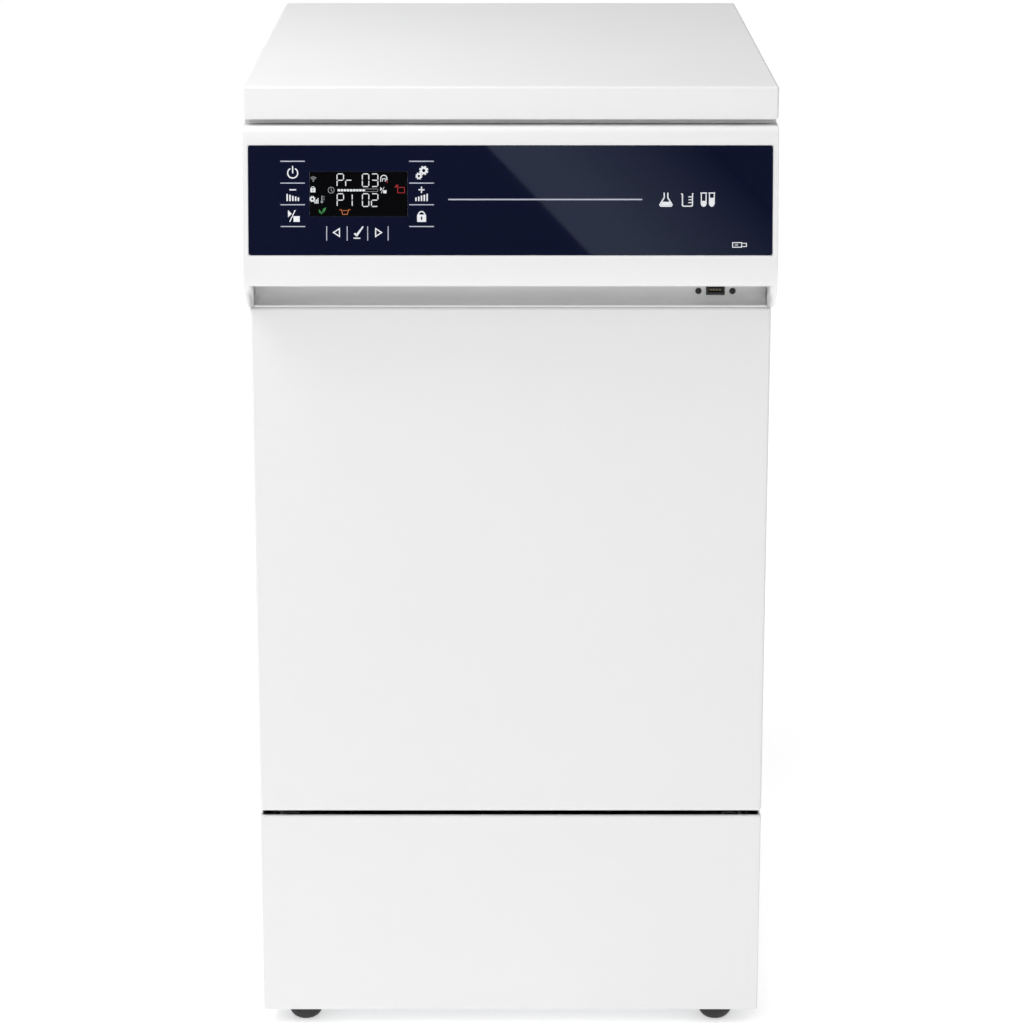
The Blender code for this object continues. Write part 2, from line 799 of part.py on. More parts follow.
PIPE_TOP_Z = UPPER_ARM_Z + SPRAY_ARM_THICKNESS + 0.0100
DOCK_Y = TUB_REAR_Y - 0.062


def make_feed_pipe(m):
    """Riser on the tub's rear wall that ends in a docking mouth for the upper rack's pipe."""
    y = TUB_REAR_Y - PIPE_Y
    bend = 0.016
    corner = [
        (0, y - bend + bend * math.cos(a), PIPE_TOP_Z - bend + bend * math.sin(a))
        for a in (math.radians(15 * i) for i in range(7))
    ]
    points = [(0, y, TUB_FLOOR + SEAT_GAP), *corner, (0, DOCK_Y + RUN_GAP, PIPE_TOP_Z)]
    tube("upper_feed_pipe", points, PIPE_RADIUS, m["stainless"], sides=12)


def make_heater(m):
    """Tubular heating loop lying over the tub's floor, round the sump."""
    radius, height = 0.128, TUB_FLOOR + 0.013
    ring = [
        (radius * math.sin(math.radians(a)), TUB_MID_Y - radius * math.cos(math.radians(a)), height)
        for a in range(-156, 157, 13)
    ]
    start, end = ring[0], ring[-1]
    foot = TUB_FLOOR + 0.0030
    points = [(start[0], start[1] + 0.006, foot), *ring, (end[0], end[1] + 0.006, foot)]
    tube("heater_element", points, 0.004, m["stainless"], sides=8)


PUMP_CENTRE = (-0.085, 0.060, 0.098)
PUMP_RADIUS = 0.046


def make_wash_pump(m):
    """Motor and volute along X. The volute is open on its inlet side, where the impeller turns."""
    x, y, z = PUMP_CENTRE
    motor = cylinder(
        "wash_pump", (x - 0.070, y, z), (x + 0.030, y, z), PUMP_RADIUS, m["grey_plastic"], 20
    )
    volute = cylinder("pump_volute", (x + 0.024, y, z), (x + 0.056, y, z), PUMP_RADIUS + 0.008, None, 20)
    chamber = cylinder("pump_chamber", (x + 0.034, y, z), (x + 0.066, y, z), PUMP_RADIUS - 0.004, None, 20)
    shaft_bore = cylinder("pump_shaft_bore", (x + 0.010, y, z), (x + 0.040, y, z), 0.0064, None, 16)
    outlet = cylinder("pump_outlet", (x + 0.045, y, z + 0.040), (x + 0.045, y, z + 0.064), 0.012, None, 16)
    foot = box(
        "pump_foot",
        (x - 0.060, y - 0.020, BASE_FLOOR + SHEET + SEAT_GAP),
        (x + 0.020, y + 0.020, z - 0.030),
        None,
    )
    for joined in (volute, outlet, foot):
        cut(motor, joined, "UNION")
    cut(motor, chamber)
    cut(motor, shaft_bore)

    wheel = cylinder(
        "pump_impeller", (x + 0.038, y, z), (x + 0.041, y, z), PUMP_RADIUS - 0.010, m["black_plastic"], 20
    )
    shaft = cylinder("impeller_shaft", (x + 0.014, y, z), (x + 0.050, y, z), 0.0060, None, 16)
    cut(wheel, shaft, "UNION")
    blade_count = 5
    for i in range(blade_count):
        angle = 2 * math.pi * i / blade_count
        low, high = Vector((x + 0.040, -0.001, 0.004)), Vector((x + 0.050, 0.001, PUMP_RADIUS - 0.012))
        blade = box(f"impeller_blade_{i}", low, high, None)
        blade.location = (0, 0, 0)
        middle = (low + high) / 2
        turn = Matrix.Rotation(angle, 4, "X")
        blade.matrix_world = Matrix.Translation((0, y, z)) @ turn @ Matrix.Translation(middle)
        cut(wheel, blade, "UNION")


def make_drain_pump(m):
    """Small pump behind the service plate, with its hose spigot through the plate."""
    y = SERVICE_Y - 0.075
    body = cylinder(
        "drain_pump", (DRAIN_X, y, SERVICE_Z), (DRAIN_X, y + 0.060, SERVICE_Z), 0.030, m["black_plastic"], 20
    )
    spigot = cylinder(
        "drain_spigot",
        (DRAIN_X, y + 0.050, SERVICE_Z),
        (DRAIN_X, SERVICE_Y + 0.034, SERVICE_Z),
        DRAIN_RADIUS,
        None,
        16,
    )
    foot = box(
        "drain_foot",
        (DRAIN_X - 0.012, y + 0.010, BASE_FLOOR + SHEET + SEAT_GAP),
        (DRAIN_X + 0.012, y + 0.040, SERVICE_Z - 0.020),
        None,
    )
    cut(body, spigot, "UNION")
    cut(body, foot, "UNION")


def make_inlet_valve(m):
    """Solenoid valve behind the service plate, with its three-quarter inch inlet outside."""
    y = SERVICE_Y - 0.055
    body = box(
        "water_inlet_valve",
        (INLET_X - 0.019, y, SERVICE_Z - 0.016),
        (INLET_X + 0.019, SERVICE_Y - 0.010, SERVICE_Z + 0.016),
        m["white_plastic"],
    )
    bevel(body, 0.002, 1)
    inlet = cylinder(
        "valve_inlet",
        (INLET_X, SERVICE_Y - 0.020, SERVICE_Z),
        (INLET_X, SERVICE_Y + 0.022, SERVICE_Z),
        INLET_RADIUS,
        None,
    )
    bore = cylinder(
        "valve_bore",
        (INLET_X, SERVICE_Y + 0.004, SERVICE_Z),
        (INLET_X, SERVICE_Y + 0.030, SERVICE_Z),
        INLET_BORE,
        None,
    )
    coil = cylinder(
        "valve_coil",
        (INLET_X, y + 0.020, SERVICE_Z + 0.010),
        (INLET_X, y + 0.020, SERVICE_Z + 0.044),
        VALVE_COIL_RADIUS,
        None,
    )
    cut(body, inlet, "UNION")
    cut(body, coil, "UNION")
    cut(body, bore)


def make_cable_gland(m):
    y = SERVICE_Y
    parts = [
        (GLAND_RADIUS, y - 0.012, y + 0.003),
        (GLAND_RADIUS + 0.0030, y + SHEET, y + 0.010),
        (GLAND_RADIUS, y + 0.009, y + 0.020),
    ]
    radius, start, end = parts[0]
    gland = cylinder(
        "cable_gland", (GLAND_X, start, SERVICE_Z), (GLAND_X, end, SERVICE_Z), radius, m["black_plastic"]
    )
    for i, (radius, start, end) in enumerate(parts[1:]):
        section = cylinder(
            f"gland_section_{i}",
            (GLAND_X, start, SERVICE_Z),
            (GLAND_X, end, SERVICE_Z),
            radius,
            None,
            6 if i == 0 else 24,
        )
        cut(gland, section, "UNION")
    mouth = cylinder(
        "gland_mouth", (GLAND_X, y + 0.006, SERVICE_Z), (GLAND_X, y + 0.030, SERVICE_Z), CABLE_RADIUS, None
    )
    cut(gland, mouth)


# ---------------------------------------------------------------- racks
def make_rack(name, floor, height, m):
    """Open wire basket: a grid floor with two rows of cells up each side."""
    columns, rows, levels = 6, 7, 2
    shape = bmesh.new()
    bmesh.ops.create_grid(shape, x_segments=columns, y_segments=rows, size=0.5)
    bmesh.ops.scale(shape, vec=(RACK_WIDTH - RACK_WIRE, RACK_LENGTH - RACK_WIRE, 1), verts=shape.verts)
    rim = [e for e in shape.edges if e.is_boundary]
    for _ in range(levels):
        made = bmesh.ops.extrude_edge_only(shape, edges=rim)["geom"]
        moved = [v for v in made if isinstance(v, bmesh.types.BMVert)]
        bmesh.ops.translate(shape, vec=(0, 0, (height - RACK_WIRE) / levels), verts=moved)
        rim = [e for e in made if isinstance(e, bmesh.types.BMEdge) and e.is_boundary]
    bmesh.ops.recalc_face_normals(shape, faces=shape.faces)
    mesh = bpy.data.meshes.new(name)
    shape.to_mesh(mesh)
    shape.free()
    middle = ((RACK_FRONT_Y + RACK_REAR_Y) / 2, floor + RACK_WIRE / 2)
    rack = add_object(name, mesh, m["stainless"], (0, *middle))
    modifier(
        rack, "WIREFRAME", thickness=RACK_WIRE, use_boundary=True, use_even_offset=True, use_replace=True
    )
    return rack


RAIL_HEIGHT = 0.018
RAIL_DEPTH = 0.010
RAIL_Z = UPPER_RACK_FLOOR + 0.055


def make_rails(m):
    """Channel on each side wall of the tub, and the runner on the upper rack that slides in it."""
    for name, side in SIDES:
        wall_x, mouth_x = side * (TUB_X - SEAT_GAP), side * (TUB_X - RAIL_DEPTH)
        low, high = RAIL_Z - RAIL_HEIGHT / 2, RAIL_Z + RAIL_HEIGHT / 2
        path = [(mouth_x, low), (wall_x, low), (wall_x, high), (mouth_x, high)]
        # Drawn in (x, z) and run along Y, so low and high are given as -y.
        folded_sheet(
            "rack_rail_" + name,
            path,
            -(RACK_REAR_Y + 0.010),
            -(TUB_FRONT_Y + 0.012),
            m["stainless"],
            thickness=LINER_SHEET,
            offset=side,
            across=ACROSS_Y,
        )
        inner_x = side * (RACK_WIDTH / 2 + SEAT_GAP)
        outer_x = side * (TUB_X - SEAT_GAP - LINER_SHEET - RUN_GAP * 2)
        half = RAIL_HEIGHT / 2 - LINER_SHEET - RUN_GAP
        runner = box(
            "rack_runner_" + name,
            (min(inner_x, outer_x), RACK_FRONT_Y + 0.010, RAIL_Z - half),
            (max(inner_x, outer_x), RACK_REAR_Y - 0.010, RAIL_Z + half),
            m["stainless"],
        )
        bevel(runner, 0.0015, 2)


def make_rack_manifold(m):
    """Pipe under the upper rack from the docking mouth to the upper arm's journal."""
    z = PIPE_TOP_Z
    points = [(0, DOCK_Y - RUN_GAP, z), (0, TUB_MID_Y - 0.004, z)]
    pipe = tube("upper_rack_manifold", points, PIPE_RADIUS, m["grey_plastic"], sides=12)
    journal = 0.0070
    arm_low, arm_high = UPPER_ARM_Z, UPPER_ARM_Z + SPRAY_ARM_THICKNESS
    profile = [
        (0, z),
        (0.0110, z),
        (0.0110, arm_high + RUN_GAP),
        (journal, arm_high + RUN_GAP),
        (journal, arm_low - RUN_GAP),
        (0.0105, arm_low - RUN_GAP),
        (0.0105, arm_low - 0.004),
        (0, arm_low - 0.004),
    ]
    stem = turned("manifold_stem", profile, (0, TUB_MID_Y, 0), None)
    cut(pipe, stem, "UNION")


def wheel_places():
    x = RACK_WIDTH / 2 + SEAT_GAP + WHEEL_WIDTH / 2
    front, rear = RACK_FRONT_Y + FRONT_WHEEL_SETBACK, RACK_REAR_Y - REAR_WHEEL_SETBACK
    return {
        "front_left": (-x, front),
        "front_right": (x, front),
        "rear_left": (-x, rear),
        "rear_right": (x, rear),
    }


AXLE_RADIUS = 0.0030
WHEEL_Z = TUB_FLOOR + SEAT_GAP + WHEEL_RADIUS


def make_wheels(m):
    """Grooved nylon wheels, each on a bracket that hangs from the lower rack's side."""
    half = WHEEL_WIDTH / 2
    profile = [
        (AXLE_RADIUS + RUN_GAP, half),
        (WHEEL_RADIUS * 0.75, half),
        (WHEEL_RADIUS, half * 0.45),
        (WHEEL_RADIUS, -half * 0.45),
        (WHEEL_RADIUS * 0.75, -half),
        (AXLE_RADIUS + RUN_GAP, -half),
    ]
    for name, (x, y) in wheel_places().items():
        wheel = turned(
            "rack_wheel_" + name, profile, (x, y, WHEEL_Z), m["grey_plastic"], steps=20, closed=True
        )
        wheel.rotation_euler = (0, math.pi / 2, 0)


def make_lower_rack(m):
    rack = make_rack("lower_rack", LOWER_RACK_FLOOR, LOWER_RACK_HEIGHT, m)
    edge = RACK_WIDTH / 2
    for name, (x, y) in wheel_places().items():
        side = math.copysign(1, x)
        bracket = box(
            "wheel_bracket_" + name,
            (min(side * (edge - 0.0035), side * (edge - 0.0010)), y - 0.006, WHEEL_Z - 0.006),
            (max(side * (edge - 0.0035), side * (edge - 0.0010)), y + 0.006, LOWER_RACK_FLOOR + RACK_WIRE),
            None,
        )
        axle = cylinder(
            "wheel_axle_" + name,
            (side * (edge - 0.002), y, WHEEL_Z),
            (side * (edge + WHEEL_WIDTH + 0.001), y, WHEEL_Z),
            AXLE_RADIUS,
            None,
            12,
        )
        cut(rack, bracket, "UNION")
        cut(rack, axle, "UNION")


# ---------------------------------------------------------------- door
LINER_X = BODY_X - SHEET - 0.0010
LINER_BOTTOM = 0.2235
LINER_TOP = CONSOLE_TOP - 0.0030
DISH_MARGIN, DISH_SLOPE, DISH_DEPTH = 0.026, 0.008, 0.009
DISH_TOP = DOOR_PANEL_TOP - 0.015  # the dish stays under the grip tray


def make_door_panel(m):
    panel = box(
        "door_outer_panel",
        (-BODY_X, DOOR_Y, DOOR_BOTTOM),
        (BODY_X, DOOR_BACK_Y - SEAT_GAP, DOOR_PANEL_TOP),
        m["white_enamel"],
        open_faces=[(0, 1, 0)],
    )
    bevel(panel, 0.0025, 3)
    solidify(panel, SHEET)
    smooth(panel)


DISPENSER_X = (-0.080, 0.070)
DISPENSER_Z = (0.430, 0.550)
DISPENSER_PROUD = 0.005
CUP_X = (-0.070, -0.004)
CUP_Z = (0.494, 0.542)
CUP_DEPTH = 0.012
LID_THICKNESS = 0.0025
CAP_RADIUS = 0.018


def liner_ring(margin, y):
    low = (-LINER_X + margin, LINER_BOTTOM + margin)
    high = (LINER_X - margin, DISH_TOP + DISH_MARGIN - margin if margin else LINER_TOP)
    return [(x, y, z) for x, z in rounded_rectangle(low, high, 0.002 + 0.4 * margin)]


def make_door_liner(m):
    """Stainless inner sheet, dished towards the outside of the door inside its sealing rim."""
    rings = [
        liner_ring(DISH_MARGIN + DISH_SLOPE, LINER_BACK_Y - DISH_DEPTH),
        liner_ring(DISH_MARGIN, LINER_BACK_Y),
        liner_ring(0, LINER_BACK_Y),
        liner_ring(0, DOOR_BACK_Y),
        liner_ring(DISH_MARGIN, DOOR_BACK_Y),
        liner_ring(DISH_MARGIN + DISH_SLOPE, DOOR_BACK_Y - DISH_DEPTH),
    ]
    liner = lofted("door_inner_liner", rings, m["stainless"])
    hole = box(
        "dispenser_hole",
        (DISPENSER_X[0] + 0.004, DOOR_Y - 0.010, DISPENSER_Z[0] + 0.004),
        (DISPENSER_X[1] - 0.004, DOOR_BACK_Y + 0.020, DISPENSER_Z[1] - 0.004),
        None,
    )
    cut(liner, hole)


def make_dispenser(m):
    """Powder and rinse-aid dispenser set in the liner: its body, sliding lid and quarter-turn cap."""
    dish_y = LINER_BACK_Y - DISH_DEPTH
    face_y = dish_y + DISPENSER_PROUD
    body = box(
        "dispenser_body",
        (DISPENSER_X[0] + 0.0045, DOOR_Y + 0.004, DISPENSER_Z[0] + 0.0045),
        (DISPENSER_X[1] - 0.0045, face_y - 0.001, DISPENSER_Z[1] - 0.0045),
        m["grey_plastic"],
    )
    rim = box(
        "dispenser_rim",
        (DISPENSER_X[0], dish_y + SEAT_GAP, DISPENSER_Z[0]),
        (DISPENSER_X[1], face_y, DISPENSER_Z[1]),
        None,
    )
    bevel(rim, 0.0015, 2)
    cut(body, rim, "UNION")
    cup = box(
        "powder_cup",
        (CUP_X[0], face_y - CUP_DEPTH, CUP_Z[0]),
        (CUP_X[1], face_y + 0.010, CUP_Z[1]),
        None,
    )
    cut(body, cup)

    lid_low, lid_high = CUP_Z[0] - 0.003, CUP_Z[1] + 0.003
    lid = box(
        "dispenser_lid",
        (CUP_X[0] - 0.003, face_y + SEAT_GAP, lid_low),
        (CUP_X[1] + 0.003, face_y + SEAT_GAP + LID_THICKNESS, lid_high),
        m["grey_plastic"],
    )
    bevel(lid, 0.0008, 1)
    cap_x, cap_z = 0.036, 0.505
    cap = cylinder(
        "rinse_aid_cap",
        (cap_x, face_y + SEAT_GAP, cap_z),
        (cap_x, face_y + SEAT_GAP + 0.004, cap_z),
        CAP_RADIUS,
        m["blue_plastic"],
    )
    grip = box(
        "cap_grip",
        (cap_x - CAP_RADIUS + 0.003, face_y + 0.003, cap_z - 0.002),
        (cap_x + CAP_RADIUS - 0.003, face_y + 0.009, cap_z + 0.002),
        None,
    )
    cut(cap, grip, "UNION")


LOCK_Z = TUB_CEILING + LINER_SHEET + SEAT_GAP
STRIKE_Z = (0.8035, 0.8055)
STRIKE_REACH = 0.026
BOLT_RADIUS = 0.0035
SLOT_Z = (0.8015, 0.8090)
LOCK_FRONT_Y = TUB_FRONT_Y + 0.0015
BOLT_Y = LOCK_FRONT_Y + 0.009


def make_door_lock(m):
    """Lock case on the tub, its bolt above the slot, and the door's strike plate that enters the slot."""
    half = 0.040
    case = box(
        "door_lock_case",
        (-half, LOCK_FRONT_Y, LOCK_Z),
        (half, LOCK_FRONT_Y + 0.045, WORKTOP_UNDERSIDE - 0.001),
        m["black_plastic"],
    )
    slot = box(
        "lock_slot",
        (-0.018, LOCK_FRONT_Y - 0.010, SLOT_Z[0]),
        (0.018, LOCK_FRONT_Y + 0.022, SLOT_Z[1]),
        None,
    )
    bore = cylinder(
        "lock_bore",
        (0, BOLT_Y, LOCK_Z + 0.002),
        (0, BOLT_Y, WORKTOP_UNDERSIDE + 0.010),
        BOLT_RADIUS + RUN_GAP,
        None,
    )
    cut(case, slot)
    cut(case, bore)
    cylinder(
        "door_lock_bolt",
        (0, BOLT_Y, SLOT_Z[1] + 0.0002),
        (0, BOLT_Y, SLOT_Z[1] + 0.0110),
        BOLT_RADIUS,
        m["stainless"],
    )

    reach_y = LINER_BACK_Y + SEAT_GAP
    outline = rounded_rectangle((-0.015, reach_y), (0.015, reach_y + STRIKE_REACH), 0.003)
    hole = arc((0, BOLT_Y), BOLT_RADIUS + 0.0008, 0, 345, 23)
    strike = plate(
        "door_strike", [outline, hole], STRIKE_Z[1] - STRIKE_Z[0], (0, 0, sum(STRIKE_Z) / 2), m["stainless"]
    )
    back = box(
        "strike_foot",
        (-0.015, reach_y, STRIKE_Z[0] + 0.0005),
        (0.015, reach_y + 0.0012, LINER_TOP - 0.001),
        None,
    )
    cut(strike, back, "UNION")


# ---------------------------------------------------------------- console
FASCIA_WIDTH = 0.440
FASCIA_THICKNESS = 0.0012
FASCIA_TOP_Z = CONSOLE_TOP - 0.0154
FASCIA_BOTTOM_Z = 0.7114
FRONT_FOOT_Z = 0.708  # where the slanted front meets the curve below it
FRONT_HEAD_Z = CONSOLE_TOP - 0.005
CONSOLE_HEAD_BULGE = 0.014
CHEEK = 0.006
CHEEK_BOTTOM = DOOR_PANEL_TOP + SEAT_GAP
POCKET_FRONT = 0.013  # ahead of the door's face
POCKET_TOP = 0.706


def console_y(bulge):
    return DOOR_Y - bulge


def front_bulge(z):
    """How far the slanted front stands ahead of the door's face at height z."""
    share = (z - FRONT_FOOT_Z) / (FRONT_HEAD_Z - FRONT_FOOT_Z)
    return CONSOLE_BULGE + (CONSOLE_HEAD_BULGE - CONSOLE_BULGE) * share


def cheek_curve(steps=8):
    """The console's lower front: a smooth curve from the slanted face back to the door's face."""
    start = Vector((CONSOLE_BULGE, FRONT_FOOT_Z))
    control_a = Vector((CONSOLE_BULGE + 0.0030, FRONT_FOOT_Z - 0.020))
    control_b = Vector((CONSOLE_BULGE - 0.010, CHEEK_BOTTOM + 0.006))
    end = Vector((0.0, CHEEK_BOTTOM))
    points = []
    for i in range(1, steps + 1):
        t = i / steps
        back = 1 - t
        point = start * back**3 + end * t**3
        point += control_a * (3 * t * back**2) + control_b * (3 * t**2 * back)
        points.append((min(point.x, CONSOLE_BULGE), point.y))
    return points


def console_outline():
    """Side view of the console as (y, z) points."""
    head = [(b, z) for b, z in arc((CONSOLE_HEAD_BULGE - 0.0055, CONSOLE_TOP - 0.006), 0.006, 90, 10, 3)]
    points = [(-DOOR_DEPTH, CONSOLE_TOP), *head, (front_bulge(FRONT_FOOT_Z), FRONT_FOOT_Z)]
    points += cheek_curve() + [(-DOOR_DEPTH, CHEEK_BOTTOM)]
    return [(console_y(b), z) for b, z in points]


def fascia_frame():
    """Centre and turn of the slanted fascia: its own Z looks out of the console."""
    middle_z = (FASCIA_TOP_Z + FASCIA_BOTTOM_Z) / 2
    centre = Vector((0, console_y(front_bulge(middle_z)), middle_z))
    up = Vector((0, console_y(front_bulge(FASCIA_TOP_Z)), FASCIA_TOP_Z)) - Vector(
        (0, console_y(front_bulge(FASCIA_BOTTOM_Z)), FASCIA_BOTTOM_Z)
    )
    across = Vector((1, 0, 0))
    out = across.cross(up.normalized())
    turn = Matrix((across, up.normalized(), out)).transposed().to_4x4()
    return Matrix.Translation(centre) @ turn, up.length


DISPLAY_X = (-0.1685, -0.0863)
DISPLAY_TOP = 0.0217  # below the fascia's top edge
DISPLAY_HEIGHT = 0.0375
FASCIA_POCKET = 0.0013


def make_console(m):
    outline = console_outline()
    housing = plate("console_housing", [outline], WORKTOP_WIDTH, (0, 0, 0), m["white_plastic"], ACROSS_X)
    bevel(housing, 0.0022, 2, 60)

    wall = 0.003
    inner_x = WORKTOP_WIDTH / 2 - wall - 0.0005
    inner = [
        (-DOOR_DEPTH - 0.005, CONSOLE_TOP - wall),
        (CONSOLE_HEAD_BULGE - wall, CONSOLE_TOP - wall - 0.002),
        (CONSOLE_BULGE - wall, FRONT_FOOT_Z),
        (CONSOLE_BULGE - wall, CONSOLE_LIP + wall + 0.004),
        (CONSOLE_BULGE - wall - 0.004, CONSOLE_LIP + wall),
        (-DOOR_DEPTH - 0.005, CONSOLE_LIP + wall),
    ]
    hollow = plate(
        "console_hollow", [[(console_y(b), z) for b, z in inner]], 2 * inner_x, (0, 0, 0), None, ACROSS_X
    )
    finger_room = box(
        "console_finger_room",
        (-WORKTOP_WIDTH / 2 + CHEEK, console_y(CONSOLE_BULGE + 0.010), CHEEK_BOTTOM - 0.010),
        (WORKTOP_WIDTH / 2 - CHEEK, console_y(-DOOR_DEPTH - 0.005), CONSOLE_LIP),
        None,
    )
    pocket = box(
        "console_pocket",
        (-WORKTOP_WIDTH / 2 + CHEEK, console_y(POCKET_FRONT), CONSOLE_LIP - 0.010),
        (WORKTOP_WIDTH / 2 - CHEEK, console_y(-DOOR_DEPTH - 0.005), CONSOLE_LIP + wall + 0.002),
        None,
    )
    frame, height = fascia_frame()
    seat = box(
        "fascia_seat",
        (-FASCIA_WIDTH / 2 - 0.0004, -height / 2 - 0.0004, -FASCIA_POCKET),
        (FASCIA_WIDTH / 2 + 0.0004, height / 2 + 0.0004, 0.010),
        None,
    )
    seat.matrix_world = frame @ Matrix.Translation(seat.location)
    for cutter in (hollow, finger_room, pocket, seat):
        cut(housing, cutter)
    smooth(housing)


def make_fascia(m):
    """Dark film panel with a window, and the display's lens in the window."""
    frame, height = fascia_frame()
    top = height / 2 - DISPLAY_TOP
    window = ((DISPLAY_X[0], top - DISPLAY_HEIGHT), (DISPLAY_X[1], top))
    outlines = [
        rounded_rectangle((-FASCIA_WIDTH / 2, -height / 2), (FASCIA_WIDTH / 2, height / 2), 0.0018),
        rounded_rectangle(*window, 0.0001, 1),
    ]
    fascia = plate("console_fascia", outlines, FASCIA_THICKNESS, (0, 0, 0), m["navy_film"])
    lift = -FASCIA_POCKET + 0.0003 + FASCIA_THICKNESS / 2
    fascia.matrix_world = frame @ Matrix.Translation((0, 0, lift))
    gap = 0.0002
    lens = box(
        "display_window",
        (window[0][0] + gap, window[0][1] + gap, lift - FASCIA_THICKNESS / 2),
        (window[1][0] - gap, window[1][1] - gap, lift + FASCIA_THICKNESS / 2 - 0.0001),
        m["display_lens"],
    )
    lens.matrix_world = frame @ Matrix.Translation(lens.location)

    board = box("control_board", (-0.190, -0.034, -0.012), (-0.060, 0.034, -0.0045), m["circuit_board"])
    board.matrix_world = frame @ Matrix.Translation(board.location)


RECESS_BACK = 0.0150  # recess wall behind the door's face
RECESS_SHEET = 0.0014


def make_handle_recess(m):
    """Grip tray: from the door's top edge, back and up behind the lip, then down inside it."""
    low = DOOR_PANEL_TOP + SEAT_GAP + RECESS_SHEET
    bend = 0.006
    curve = arc((-RECESS_BACK + bend, low + bend), bend, 270, 180, 5)
    upper = arc((-RECESS_BACK + 0.004, POCKET_TOP - 0.004), 0.004, 180, 90, 3)
    front_b = POCKET_FRONT - RECESS_SHEET - SEAT_GAP
    front = arc((front_b - 0.004, POCKET_TOP - 0.004), 0.004, 90, 0, 3)
    path = [(-0.0005, low), *curve, *upper, *front, (front_b, CONSOLE_LIP + 0.001)]
    half = WORKTOP_WIDTH / 2 - CHEEK - SEAT_GAP
    tray = folded_sheet(
        "handle_recess",
        [(console_y(b), z) for b, z in path],
        -half,
        half,
        m["white_plastic"],
        thickness=RECESS_SHEET,
        offset=-1,
        across=ACROSS_X,
    )
    smooth(tray)
    socket_hole = box(
        "usb_hole",
        (USB_X - USB_WIDTH / 2 - 0.0004, console_y(RECESS_BACK), USB_Z[0] - 0.0004),
        (USB_X + USB_WIDTH / 2 + 0.0004, console_y(-RECESS_BACK - 0.010), USB_Z[1] + 0.0004),
        None,
    )
    cut(tray, socket_hole)


USB_X = 0.1755
USB_WIDTH = 0.0155
USB_Z = (0.6682, 0.6767)
USB_SCREW_PITCH = 0.0146
USB_PROUD = 0.0010


def make_usb_port(m):
    """Data socket in the recess wall, with a fixing screw on each side."""
    wall_y = console_y(-RECESS_BACK)
    port = box(
        "usb_port",
        (USB_X - USB_WIDTH / 2, wall_y - USB_PROUD, USB_Z[0]),
        (USB_X + USB_WIDTH / 2, wall_y + 0.0036, USB_Z[1]),
        m["black_plastic"],
    )
    slot = box(
        "usb_slot",
        (USB_X - 0.0062, wall_y - 0.010, USB_Z[0] + 0.0022),
        (USB_X + 0.0062, wall_y + 0.0020, USB_Z[1] - 0.0018),
        None,
    )
    tongue = box(
        "usb_tongue",
        (USB_X - 0.0055, wall_y - 0.0002, USB_Z[0] + 0.0042),
        (USB_X + 0.0055, wall_y + 0.0030, USB_Z[1] - 0.0026),
        None,
    )
    cut(port, slot)
    cut(port, tongue, "UNION")
    for name, side in SIDES:
        x = USB_X + side * USB_SCREW_PITCH
        z = (USB_Z[0] + USB_Z[1]) / 2 - 0.0010
        cylinder(
            "usb_screw_" + name,
            (x, wall_y - 0.0014, z),
            (x, wall_y - SEAT_GAP, z),
            0.0027,
            m["black_plastic"],
            16,
        )


# ---------------------------------------------------------------- the object
def main():
    global PARTS, CUTTERS
    clear_scene()
    PARTS = add_collection("glass_washer")
    CUTTERS = add_collection("cutters")
    m = make_materials()
    make_worktop(m)
    make_side_panels(m)
    make_rear_panel(m)
    make_service_plate(m)
    make_base_tray(m)
    make_feet(m)
    make_plinth(m)
    make_hinges(m)
    make_tub(m)
    make_gasket(m)
    make_sump(m)
    make_filters(m)
    make_spray_hub(m)
    make_spray_arms(m)
    make_feed_pipe(m)
    make_heater(m)
    make_wash_pump(m)
    make_drain_pump(m)
    make_inlet_valve(m)
    make_cable_gland(m)
    make_rack("upper_rack", UPPER_RACK_FLOOR, UPPER_RACK_HEIGHT, m)
    make_lower_rack(m)
    make_rails(m)
    make_rack_manifold(m)
    make_wheels(m)
    make_door_panel(m)
    make_door_liner(m)
    make_dispenser(m)
    make_door_lock(m)
    make_console(m)
    make_fascia(m)
    make_handle_recess(m)
    make_usb_port(m)


main()
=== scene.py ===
"""Looks of the under-counter glass washer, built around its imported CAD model.

Metres, in the part's own frame: +X right, -Y out of the door, +Z up, origin on the floor.
"""

import math

import bmesh
import bpy
from mathutils import Matrix, Vector


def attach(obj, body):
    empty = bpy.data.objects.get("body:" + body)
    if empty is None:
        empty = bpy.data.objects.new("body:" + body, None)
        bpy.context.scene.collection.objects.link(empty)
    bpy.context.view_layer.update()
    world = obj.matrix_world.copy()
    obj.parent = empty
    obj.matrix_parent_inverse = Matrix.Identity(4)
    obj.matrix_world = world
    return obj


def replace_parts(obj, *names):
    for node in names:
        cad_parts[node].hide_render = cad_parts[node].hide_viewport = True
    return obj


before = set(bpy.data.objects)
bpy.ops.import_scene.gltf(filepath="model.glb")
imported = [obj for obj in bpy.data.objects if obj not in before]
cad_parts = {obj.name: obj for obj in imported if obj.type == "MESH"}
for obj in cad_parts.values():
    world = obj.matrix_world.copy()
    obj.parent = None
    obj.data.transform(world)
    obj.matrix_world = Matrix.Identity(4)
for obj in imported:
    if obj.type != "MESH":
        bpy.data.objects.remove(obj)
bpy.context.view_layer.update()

MM = 0.001

# Places that the looks share with the CAD
DOOR_Y = -0.280
TUB_FLOOR = 0.240
TUB_FRONT_Y = -0.2479
TUB_DEPTH = 0.516
TUB_REAR_Y = TUB_FRONT_Y + TUB_DEPTH
TUB_MID_Y = (TUB_FRONT_Y + TUB_REAR_Y) / 2
LINER_Y = -0.259
RACK_FRONT_Y = -0.204
RACK_REAR_Y = 0.226
RACK_X = 0.178


